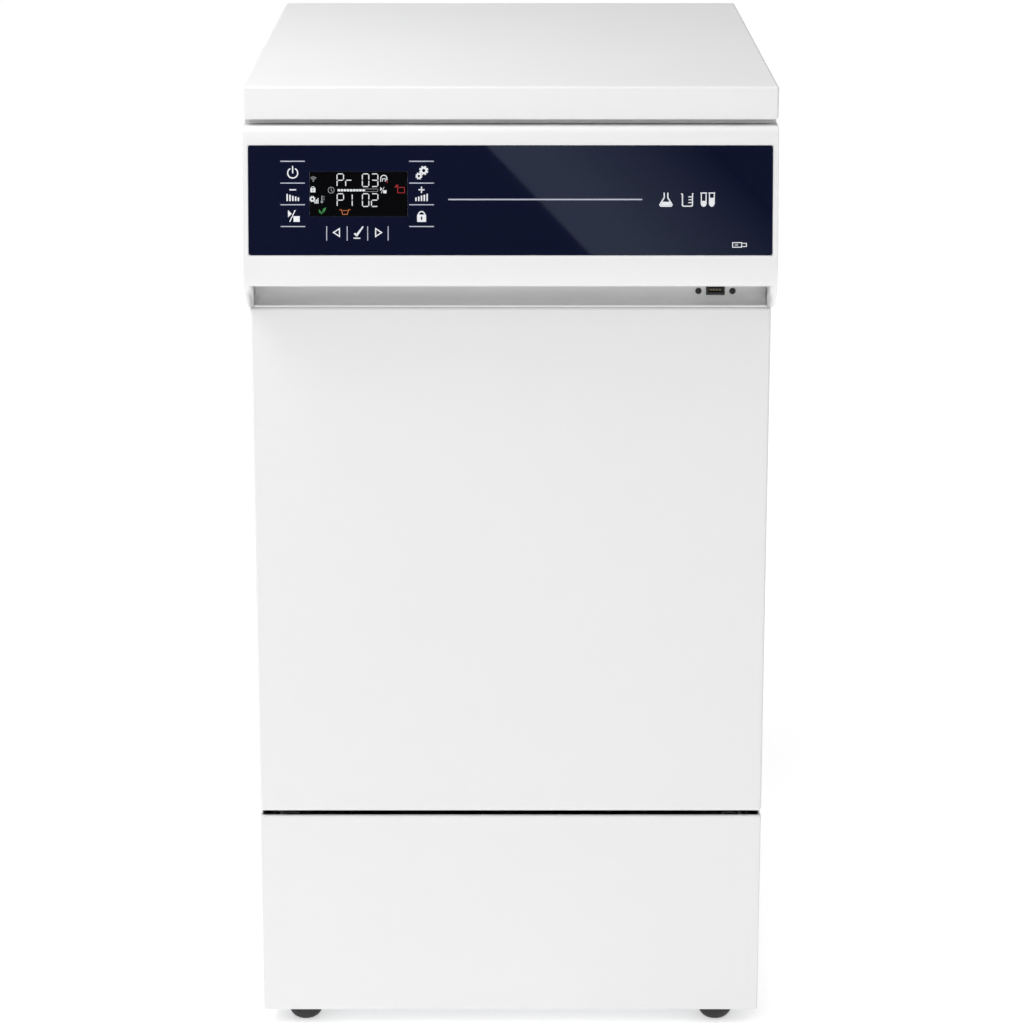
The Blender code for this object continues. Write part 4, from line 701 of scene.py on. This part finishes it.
def display_graphics():
    """What the lit display shows: two rows of characters, a progress bar and small signs round them."""
    white, grey, green = Ink(LENS_LIFT), Ink(LENS_LIFT), Ink(LENS_LIFT)
    orange, red = Ink(LENS_LIFT), Ink(LENS_LIFT)
    for v, text in DIGIT_ROWS:
        for char, u in zip(text, DIGIT_COLUMNS):
            seven_segment(white, char, u, v)
    # Progress bar: filled blocks, then an empty frame
    filled = (PROGRESS_END - PROGRESS_START) * PROGRESS_SHARE
    for i in range(PROGRESS_BLOCKS):
        white.bar(PROGRESS_START + i * filled / PROGRESS_BLOCKS, 36.4, 2.1, 1.8)
    reached = PROGRESS_START + filled
    frame_line = [(reached, 36.2), (PROGRESS_END, 36.2), (PROGRESS_END, 38.4), (reached, 38.4)]
    grey.stroke(frame_line, 0.35, True)
    # Clock
    grey.circle(-150.4, 37.2, 2.5, 0.55, steps=24)
    grey.stroke([(-150.4, 35.5), (-150.4, 37.4), (-149.2, 38.3)], 0.5)
    # Signal
    for r in (1.1, 2.2, 3.3):
        grey.circle(-165.3, 29.4, r, 0.55, 222, 318, 8)
    grey.disc(-165.3, 29.6, 0.6, 10)
    padlock(white, -165.7, 35.6, 3.4)
    # Settings with bars, and a thermometer
    gear(white, -166.2, 44.6, 2.4)
    for i, tall in enumerate((2.2, 3.4, 4.6)):
        white.bar(-164.4 + i * 1.25, 48.4 - tall, 0.8, tall)
    grey.stroke([(-158.2, 41.8), (-158.2, 46.2)], 0.9)
    grey.disc(-158.2, 47.0, 1.1, 12)
    for rise in (42.4, 43.8, 45.2):
        grey.stroke([(-157.2, rise), (-155.8, rise)], 0.4)
    # Drying hood, and start-stop
    white.circle(-106.2, 27.4, 2.6, 0.75, 180, 360, 14)
    white.stroke([(-108.8, 27.3), (-108.8, 30.2)], 0.75)
    white.stroke([(-103.6, 27.3), (-103.6, 29.0)], 0.75)
    white.stroke([(-107.4, 30.0), (-107.4, 27.6), (-105.0, 27.6), (-105.0, 30.0)], 0.55)
    red.disc(-103.5, 30.3, 0.75, 10)
    start_stop(white, -106.6, 37.2, 2.6)
    # Leaf, basin and alarm
    green.prism([(-160.9, 53.0), (-158.6, 55.4), (-157.6, 56.8), (-158.8, 57.2), (-160.6, 55.9)])
    green.prism([(-157.9, 55.4), (-157.4, 52.8), (-154.6, 51.4), (-155.2, 54.0), (-157.0, 56.2)])
    basin = [(-143.4, 53.6), (-141.8, 53.6), (-140.9, 57.4), (-136.9, 57.4), (-136.0, 53.6), (-134.4, 53.6)]
    orange.stroke(basin, 0.7)
    orange.stroke([(-140.9, 54.3), (-136.9, 54.3)], 0.55)
    red.stroke([(-93.6, 34.9), (-88.9, 34.9), (-88.9, 39.4), (-94.6, 39.4), (-94.6, 36.0)], 0.6, True)
    red.disc(-95.2, 34.2, 0.95, 10)
    red.stroke([(-97.0, 35.2), (-95.8, 33.0), (-93.8, 33.0)], 0.5)
    for ink, name, finish in (
        (white, "display_digits", "light_white"),
        (grey, "display_grey_marks", "light_grey"),
        (green, "display_green_mark", "light_green"),
        (orange, "display_orange_mark", "light_orange"),
        (red, "display_red_marks", "light_red"),
    ):
        ink.done(name, M[finish])


fascia_lines()
fascia_icons()
display_graphics()


# ---------------------------------------------------------------- grip tray and data socket
USB_X, USB_WALL_Y = 0.1755, DOOR_Y + 0.015
USB_Z = 0.67245
USB_SCREW_PITCH = 0.0146
CONTACT_PITCH, CONTACT_HALF = 0.0026, 0.0006
TRAY_X, TRAY_FLOOR, TRAY_CEILING = 0.2187, 0.6617, 0.7060
TRAY_FRONT_Y, TRAY_FRONT_Z = DOOR_Y - 0.0113, 0.6850
TRAY_SHEET = 0.0014
TRAY_BEND = 0.004
SOCKET_HOLE_X, SOCKET_HOLE_Z = (0.1674, 0.1836), (0.6678, 0.6771)


def bend(centre, radius, start, end, steps=10):
    """Points (y, z) along a bend of the tray, angles in degrees."""
    angles = [math.radians(start + (end - start) * i / steps) for i in range(steps + 1)]
    return [(centre[0] + radius * math.cos(a), centre[1] + radius * math.sin(a)) for a in angles]


def grip_tray():
    """The grip recess's bent sheet: floor, cove, wall with the socket's opening, ceiling and front lip."""
    cove = SOCKET_HOLE_Z[0] - TRAY_FLOOR
    profile = [(DOOR_Y + 0.0005, TRAY_FLOOR)]
    profile += bend((USB_WALL_Y - cove, TRAY_FLOOR + cove), cove, -90, 0)
    profile.append((USB_WALL_Y, SOCKET_HOLE_Z[1]))
    profile += bend((USB_WALL_Y - TRAY_BEND, TRAY_CEILING - TRAY_BEND), TRAY_BEND, 0, 90, 6)
    profile += bend((TRAY_FRONT_Y + TRAY_BEND, TRAY_CEILING - TRAY_BEND), TRAY_BEND, 90, 180, 6)
    profile.append((TRAY_FRONT_Y, TRAY_FRONT_Z))
    hole_row = profile.index((USB_WALL_Y, SOCKET_HOLE_Z[1])) - 1
    columns = (-TRAY_X, *SOCKET_HOLE_X, TRAY_X)
    shape = bmesh.new()
    grid = [[shape.verts.new((x, y, z)) for x in columns] for y, z in profile]
    for row in range(len(profile) - 1):
        for column in range(len(columns) - 1):
            if (row, column) != (hole_row, 1):
                low, high = grid[row], grid[row + 1]
                shape.faces.new((low[column], low[column + 1], high[column + 1], high[column]))
    bmesh.ops.recalc_face_normals(shape, faces=shape.faces)
    shape.faces.ensure_lookup_table()
    inward = TRAY_SHEET if shape.faces[0].normal.z > 0 else -TRAY_SHEET
    bmesh.ops.solidify(shape, geom=shape.faces[:], thickness=inward)
    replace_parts(piece("grip_tray", shape, M["recess"], "door"), "handle_recess")


def data_socket():
    """Gilt contacts inside the socket, and the heads of its two screws."""
    shape = bmesh.new()
    for i in range(4):
        x = USB_X + (i - 1.5) * CONTACT_PITCH
        low = (x - CONTACT_HALF, USB_WALL_Y - 0.0001, USB_Z - 0.0003)
        high = (x + CONTACT_HALF, USB_WALL_Y + 0.0015, USB_Z + 0.0001)
        block_into(shape, low, high)
    piece("usb_contacts", shape, M["gold"], "door")
    head = [
        (0, 0), (0.0027, 0), (0.0027, 0.0004), (0.0023, 0.0010),
        (0.0013, 0.0014), (0.0012, 0.0008), (0, 0.0008),
    ]
    for side, name in ((-1, "usb_screw_left"), (1, "usb_screw_right")):
        shape = bmesh.new()
        place = (USB_X + side * USB_SCREW_PITCH, USB_WALL_Y - 0.0003, USB_Z - 0.001)
        lathe_into(shape, head, place, (0, -1, 0), 24)
        screw = piece(name + "_head", shape, M["black"], "door")
        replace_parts(screw, name)


grip_tray()
data_socket()


# ---------------------------------------------------------------- feet
def hexagon_into(shape, centre, across, low, high):
    """A hexagon nut with chamfered corners."""
    radius, chamfer = across / math.sqrt(3), 0.0006
    rings = []
    for height, share in ((low, 0.90), (low + chamfer, 1.0), (high - chamfer, 1.0), (high, 0.90)):
        ring = []
        for i in range(6):
            angle = math.radians(60 * i)
            x = centre[0] + radius * share * math.cos(angle)
            y = centre[1] + radius * share * math.sin(angle)
            ring.append(shape.verts.new((x, y, height)))
        rings.append(ring)
    for a, b in zip(rings, rings[1:]):
        for i in range(6):
            shape.faces.new((a[i], a[(i + 1) % 6], b[(i + 1) % 6], b[i]))
    shape.faces.new(rings[0])
    shape.faces.new(rings[-1])


FOOT_X, FRONT_FOOT_Y, REAR_FOOT_Y = 0.1855, -0.257, 0.234
FEET = {
    "front_left": (-FOOT_X, FRONT_FOOT_Y),
    "front_right": (FOOT_X, FRONT_FOOT_Y),
    "rear_left": (-FOOT_X, REAR_FOOT_Y),
    "rear_right": (FOOT_X, REAR_FOOT_Y),
}
PAD_TOP, NUT_TOP, NUT_ACROSS = 0.0140, 0.0175, 0.013
THREAD_START, THREAD_PITCH, THREAD_TURNS = 0.0174, 0.00125, 18
THREAD_ROOT, THREAD_CREST = 0.0034, 0.0040


def feet():
    """Ribbed rubber pads, each with a hexagon nut and a threaded stud."""
    for name, (x, y) in FEET.items():
        pad = [
            (0, 0), (0.0078, 0), (0.0094, 0.0006), (0.0116, 0.0022), (0.0136, 0.0046), (0.0149, 0.0076),
            (0.0155, 0.0108), (0.0155, 0.0130), (0.0150, 0.0138), (0.0078, PAD_TOP), (0, PAD_TOP),
        ]
        shape = bmesh.new()
        lathe_into(shape, pad, (x, y, 0), (0, 0, 1), 48)
        for i in range(16):
            turn = Matrix.Translation((x, y, 0)) @ Matrix.Rotation(2 * math.pi * i / 16, 4, "Z")
            block_into(shape, (0.0138, -0.0008, 0.0080), (0.0157, 0.0008, 0.0126), 0.0003, turn)
        pad_piece = piece("foot_pad_" + name, shape, M["rubber"], "foot_" + name)
        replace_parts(pad_piece, "foot_" + name)
        shape = bmesh.new()
        hexagon_into(shape, (x, y), NUT_ACROSS, PAD_TOP, NUT_TOP)
        thread = [(0, 0.0172)]
        for i in range(THREAD_TURNS):
            low = THREAD_START + i * THREAD_PITCH
            thread += [(THREAD_ROOT, low), (THREAD_CREST, low + 0.0005)]
            thread += [(THREAD_CREST, low + 0.0007), (THREAD_ROOT, low + 0.00115)]
        thread.append((0, THREAD_START + THREAD_TURNS * THREAD_PITCH))
        lathe_into(shape, thread, (x, y, 0), (0, 0, 1), 20)
        piece("foot_stud_" + name, shape, M["bolt"], "foot_" + name)


feet()


# ---------------------------------------------------------------- racks
CROSS_WIRES, LONG_WIRES, TINES_IN_ROW = 14, 11, 9


def basket(name, floor, height, body, tines):
    """A welded wire basket of the rack's own size."""
    rim, mid, fine = 0.00225, 0.0016, 0.0013
    x, front, rear = RACK_X - rim, RACK_FRONT_Y + rim, RACK_REAR_Y - rim
    top = floor + height - rim
    base = floor + rim
    runs = []
    for z, r, inset in ((top, rim, 0.0), (floor + height * 0.52, mid, rim + mid)):
        sx, low_y, high_y = x - inset, front + inset, rear - inset
        corners = [(-sx, low_y, z), (sx, low_y, z), (sx, high_y, z), (-sx, high_y, z)]
        runs.append((rounded_path(corners, 0.020, 6, True), r, True))
    inner = x - rim - fine
    for i in range(CROSS_WIRES):
        y = front + 0.022 + (rear - front - 0.044) * i / (CROSS_WIRES - 1)
        path = [(-inner, y, top), (-inner, y, base), (inner, y, base), (inner, y, top)]
        runs.append((rounded_path(path, 0.012, 5), fine, False))
    inner_front, inner_rear = front + rim + fine, rear - rim - fine
    over_cross = base + 2 * fine
    for i in range(LONG_WIRES):
        sx = -x + 0.026 + (2 * x - 0.052) * i / (LONG_WIRES - 1)
        path = [(sx, inner_front, top), (sx, inner_front, over_cross)]
        path += [(sx, inner_rear, over_cross), (sx, inner_rear, top)]
        runs.append((rounded_path(path, 0.012, 5), fine, False))
    tine_foot = base + 3 * fine
    for x_tine, tall in tines:
        for i in range(TINES_IN_ROW):
            y = front + 0.050 + (rear - front - 0.100) * i / (TINES_IN_ROW - 1)
            ends = ((-0.012, tine_foot), (-0.009, base + tall), (0.009, base + tall), (0.012, tine_foot))
            path = [(x_tine + offset, y, z) for offset, z in ends]
            runs.append((rounded_path(path, 0.008, 4), fine, False))
    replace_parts(wires(name + "_wires", runs, M["wire"], body), name)


basket("upper_rack", 0.500, 0.095, "upper_rack", [(x, 0.055) for x in (-0.125, -0.060, 0.060, 0.125)])
basket("lower_rack", 0.300, 0.090, "lower_rack", [(x, 0.060) for x in (-0.130, -0.045, 0.045, 0.130)])

WHEEL_Z = 0.2583
WHEELS = [(side, y) for y in (RACK_FRONT_Y + 0.160, RACK_REAR_Y - 0.062) for side in (-1, 1)]
BRACKET_X, BRACKET_TOP, BRACKET_HALF = (0.1745, 0.1770), 0.3040, 0.006
AXLE_X = 0.1755


def wheel_brackets():
    """Strips that hang from the lower rack, each with a headed axle for a wheel."""
    shape = bmesh.new()
    pin = [
        (0, 0), (0.0042, 0), (0.0042, 0.0008), (0.0030, 0.0009),
        (0.0030, 0.0113), (0.0024, 0.0120), (0, 0.0120),
    ]
    for side, y in WHEELS:
        near, far = sorted(side * x for x in BRACKET_X)
        low = (near, y - BRACKET_HALF, WHEEL_Z - BRACKET_HALF)
        block_into(shape, low, (far, y + BRACKET_HALF, BRACKET_TOP), 0.0006)
        lathe_into(shape, pin, (side * AXLE_X, y, WHEEL_Z), (side, 0, 0), 20)
    piece("lower_rack_brackets", shape, M["wire"], "lower_rack")


wheel_brackets()


# ---------------------------------------------------------------- spray arms and heater
JET_DISTANCES = (0.045, 0.070, 0.096, 0.122, 0.148)
JET_STAGGER = 0.004
JET = [
    (0, 0), (0.0042, 0), (0.0040, 0.0010), (0.0030, 0.0014), (0.0014, 0.0014), (0.0012, 0.0004), (0, 0.0004),
]


def arm_nozzles(name, top, body):
    """Raised jets along both blades of a spray arm."""
    shape = bmesh.new()
    for side in (-1, 1):
        for i, distance in enumerate(JET_DISTANCES):
            y = TUB_MID_Y + side * (JET_STAGGER if i % 2 else -JET_STAGGER)
            lathe_into(shape, JET, (side * distance, y, top - 0.0002), (0, 0, 1), 18)
    piece(name, shape, M["pale"], body)


arm_nozzles("lower_arm_jets", 0.282, "lower_spray_arm")
arm_nozzles("upper_arm_jets", 0.482, "upper_spray_arm")


HEATER_RADIUS, HEATER_ROD, HEATER_Z = 0.128, 0.004, TUB_FLOOR + 0.013
HEATER_ENDS, HEATER_STEPS = (-156, 156), 72


def heater():
    """A round tubular element whose two ends bend down into the tub's floor."""
    start, end = HEATER_ENDS
    ring = []
    for i in range(HEATER_STEPS + 1):
        angle = math.radians(start + (end - start) * i / HEATER_STEPS)
        x, y = HEATER_RADIUS * math.sin(angle), TUB_MID_Y - HEATER_RADIUS * math.cos(angle)
        ring.append(Vector((x, y, HEATER_Z)))

    def lead(end_point):
        x, y = end_point.x, end_point.y
        return [(x, y + 0.006, TUB_FLOOR + 0.0005), (x, y + 0.005, HEATER_Z - 0.001)]

    lead_in = rounded_path([*lead(ring[0]), ring[1]], 0.005, 5)
    lead_out = rounded_path([ring[-2], *reversed(lead(ring[-1]))], 0.005, 5)
    run = (lead_in + ring[2:-2] + lead_out, HEATER_ROD, False)
    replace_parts(wires("heater_loop", [run], M["steel"], "cabinet", 16), "heater_element")


heater()


# ---------------------------------------------------------------- springs
SPRING_X, SPRING_Y, SPRING_LOW, SPRING_HIGH = 0.1955, -0.235, 0.0195, 0.1830
SPRING_MEAN, SPRING_WIRE, SPRING_HOOK = 0.0044, 0.0011, 0.012
SPRING_TURNS, SPRING_STEPS = 34, 16


def springs():
    """The door's two extension springs, with a straight hook at each end."""
    mean, low, high = SPRING_MEAN, SPRING_LOW, SPRING_HIGH
    total = SPRING_TURNS * SPRING_STEPS
    for name, side in (("left", -1), ("right", 1)):
        x, y = side * SPRING_X, SPRING_Y
        points = []
        for i in range(total + 1):
            angle = 2 * math.pi * i / SPRING_STEPS
            z = low + SPRING_HOOK + (high - low - 2 * SPRING_HOOK) * i / total
            points.append((x + mean * math.cos(angle), y + mean * math.sin(angle), z))
        hook_low = [(x, y, low), (x, y, low + 0.006), (x + mean * 0.6, y, low + 0.010)]
        hook_high = [(x + mean * 0.6, y, high - 0.010), (x, y, high - 0.006), (x, y, high)]
        run = (hook_low + points + hook_high, SPRING_WIRE, False)
        coil = wires("spring_coil_" + name, [run], M["spring"], "cabinet", 8)
        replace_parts(coil, "door_spring_" + name)


springs()


# ---------------------------------------------------------------- screws
PAN_HEAD = [  # in shares of the head's radius
    (0, 0), (1, 0), (1, 0.18), (0.86, 0.42), (0.55, 0.55), (0.34, 0.56), (0.24, 0.20), (0, 0.16),
]


def pan_head_into(shape, place, axis, radius=0.0036):
    """A pan-head screw whose drive is a round hollow."""
    lathe_into(shape, [(radius * across, radius * up) for across, up in PAN_HEAD], place, axis, 20)


REAR_PANEL_Y, SERVICE_PLATE_Y, SERVICE_SCREW_Z = 0.3040, 0.2646, 0.178


def rear_screws():
    """Screws down both sides of the rear panel and along the service plate."""
    shape = bmesh.new()
    for x in (-0.2010, 0.2010):
        for z in (0.215, 0.410, 0.605, 0.800):
            pan_head_into(shape, (x, REAR_PANEL_Y, z), (0, 1, 0))
    for x in (-0.205, -0.070, 0.0, 0.165, 0.205):
        pan_head_into(shape, (x, SERVICE_PLATE_Y, SERVICE_SCREW_Z), (0, 1, 0), 0.003)
    piece("rear_screws", shape, M["bolt"], "cabinet")


def liner_screws():
    """Screws down both edges of the door's liner."""
    shape = bmesh.new()
    for x in (-0.2085, 0.2085):
        for z in (0.330, 0.470, 0.600, 0.720, 0.790):
            pan_head_into(shape, (x, LINER_Y, z), (0, 1, 0), 0.0032)
    piece("liner_screws", shape, M["bolt"], "door")


rear_screws()
liner_screws()


# ---------------------------------------------------------------- stage, light and camera
FLOOR_HALF = 14.0
FLOOR_GLOW = 0.48  # keeps the pale floor white in the picture


def stage():
    """A plain pale floor."""
    corners = [(x * FLOOR_HALF, y * FLOOR_HALF, 0) for x, y in ((-1, -1), (1, -1), (1, 1), (-1, 1))]
    mesh = bpy.data.meshes.new("floor")
    mesh.from_pydata(corners, [], [(0, 1, 2, 3)])
    paper = plain("pale_floor", (0.93, 0.93, 0.93), 0.9, tint=0.004, depth=0.0)
    shader = paper.node_tree.nodes["Principled BSDF"]
    shader.inputs["Specular IOR Level"].default_value = 0.0
    shader.inputs["Emission Color"].default_value = (1, 1, 1, 1)
    shader.inputs["Emission Strength"].default_value = FLOOR_GLOW
    mesh.materials.append(paper)
    floor = bpy.data.objects.new("floor", mesh)
    bpy.context.scene.collection.objects.link(floor)


def backdrop():
    """A white wall all round, which only the camera sees, so that the glossy film reflects a dark studio."""
    radius, height, sides = 13.5, 12.0, 48
    shape = bmesh.new()
    rings = []
    for z in (0.0, height):
        ring = [2 * math.pi * i / sides for i in range(sides)]
        rings.append([shape.verts.new((radius * math.cos(a), radius * math.sin(a), z)) for a in ring])
    low, high = rings
    for i in range(sides):
        shape.faces.new((low[i], low[(i + 1) % sides], high[(i + 1) % sides], high[i]))
    mesh = bpy.data.meshes.new("backdrop")
    shape.to_mesh(mesh)
    shape.free()
    mesh.materials.append(glowing("backdrop_white", (1.0, 1.0, 1.0), 1.0))
    wall = bpy.data.objects.new("backdrop", mesh)
    bpy.context.scene.collection.objects.link(wall)
    wall.visible_diffuse = False
    wall.visible_glossy = False
    wall.visible_transmission = False
    wall.visible_shadow = False


def area(name, place, target, size, power, glossy=True):
    data = bpy.data.lights.new(name, "AREA")
    data.shape = "RECTANGLE"
    data.size, data.size_y = size
    data.energy = power
    lamp = bpy.data.objects.new(name, data)
    lamp.location = place
    lamp.rotation_euler = (Vector(target) - Vector(place)).to_track_quat("-Z", "Y").to_euler()
    lamp.visible_glossy = glossy
    bpy.context.scene.collection.objects.link(lamp)


GLARE_Y = -3.80  # behind the camera, facing the machine
GLARE_TOP, GLARE_BOTTOM = (-0.100, 1.52), (0.305, 1.09)  # the slanted left edge, as (x, z)
GLARE_WIDTH = 0.42
GLARE_POWER = 0.82


def glare_card():
    """A lit card whose slanted edge shows in the glossy fascia. It fades towards its right side."""
    (top_x, top_z), (bottom_x, bottom_z) = GLARE_TOP, GLARE_BOTTOM
    outline = [(bottom_x, bottom_z), (bottom_x + GLARE_WIDTH, bottom_z)]
    outline += [(top_x + GLARE_WIDTH, top_z), (top_x, top_z)]
    mesh = bpy.data.meshes.new("glare_card")
    mesh.from_pydata([(x, GLARE_Y, z) for x, z in outline], [], [(0, 1, 2, 3)])
    n = Nodes("card_light")
    parts = n.add("ShaderNodeSeparateXYZ")
    n.link(n.place, parts.inputs[0])
    across = n.add("ShaderNodeMath", operation="MULTIPLY_ADD")
    across.inputs[1].default_value = (bottom_x - top_x) / (top_z - bottom_z)
    n.link(parts.outputs["Z"], across.inputs[0])
    n.link(parts.outputs["X"], across.inputs[2])
    edge = top_x + top_z * across.inputs[1].default_value
    n.shader.inputs["Base Color"].default_value = (0, 0, 0, 1)
    n.shader.inputs["Emission Color"].default_value = (0.66, 0.78, 1.0, 1)
    fade = n.between(across.outputs[0], GLARE_POWER, 0.0, edge + GLARE_WIDTH * 0.25, edge + GLARE_WIDTH)
    n.link(fade, n.shader.inputs["Emission Strength"])
    mesh.materials.append(n.material)
    card = bpy.data.objects.new("glare_card", mesh)
    bpy.context.scene.collection.objects.link(card)
    card.visible_camera = False
    card.visible_diffuse = False
    card.visible_shadow = False


def lights():
    world = bpy.data.worlds.new("studio")
    bpy.context.scene.world = world
    world.use_nodes = True
    tree = world.node_tree
    background = tree.nodes["Background"]
    coord = tree.nodes.new("ShaderNodeTexCoord")
    parts = tree.nodes.new("ShaderNodeSeparateXYZ")
    ramp = tree.nodes.new("ShaderNodeValToRGB")
    tree.links.new(coord.outputs["Generated"], parts.inputs[0])
    tree.links.new(parts.outputs["Z"], ramp.inputs["Fac"])
    tree.links.new(ramp.outputs["Color"], background.inputs["Color"])
    ramp.color_ramp.elements[0].position = 0.30
    ramp.color_ramp.elements[0].color = (0.06, 0.06, 0.065, 1)
    ramp.color_ramp.elements[1].position = 0.62
    ramp.color_ramp.elements[1].color = (1, 1, 1, 1)
    background.inputs["Strength"].default_value = 0.71
    area("key", (-2.3, -2.3, 2.4), (0, 0, 0.45), (1.6, 1.8), 21)
    area("fill", (2.6, -2.2, 1.8), (0, 0, 0.40), (1.6, 1.8), 2)
    area("low", (0.0, -3.2, 1.80), (0, 0, 0.60), (1.4, 0.4), 10, glossy=False)
    area("top", (-1.0, -0.5, 2.0), (-0.10, -0.1, 0.85), (0.8, 0.8), 17)


def camera():
    data = bpy.data.cameras.new("camera")
    data.lens = 120.7
    data.sensor_width = 36.0
    data.shift_x = 0.0015
    cam = bpy.data.objects.new("camera", data)
    cam.location = (0, -3.153, 1.253)
    cam.rotation_euler = (math.radians(90 - 15.07), 0, 0)
    bpy.context.scene.collection.objects.link(cam)
    bpy.context.scene.camera = cam
    bpy.context.scene.view_settings.view_transform = "Standard"


stage()
backdrop()
lights()
glare_card()
camera()
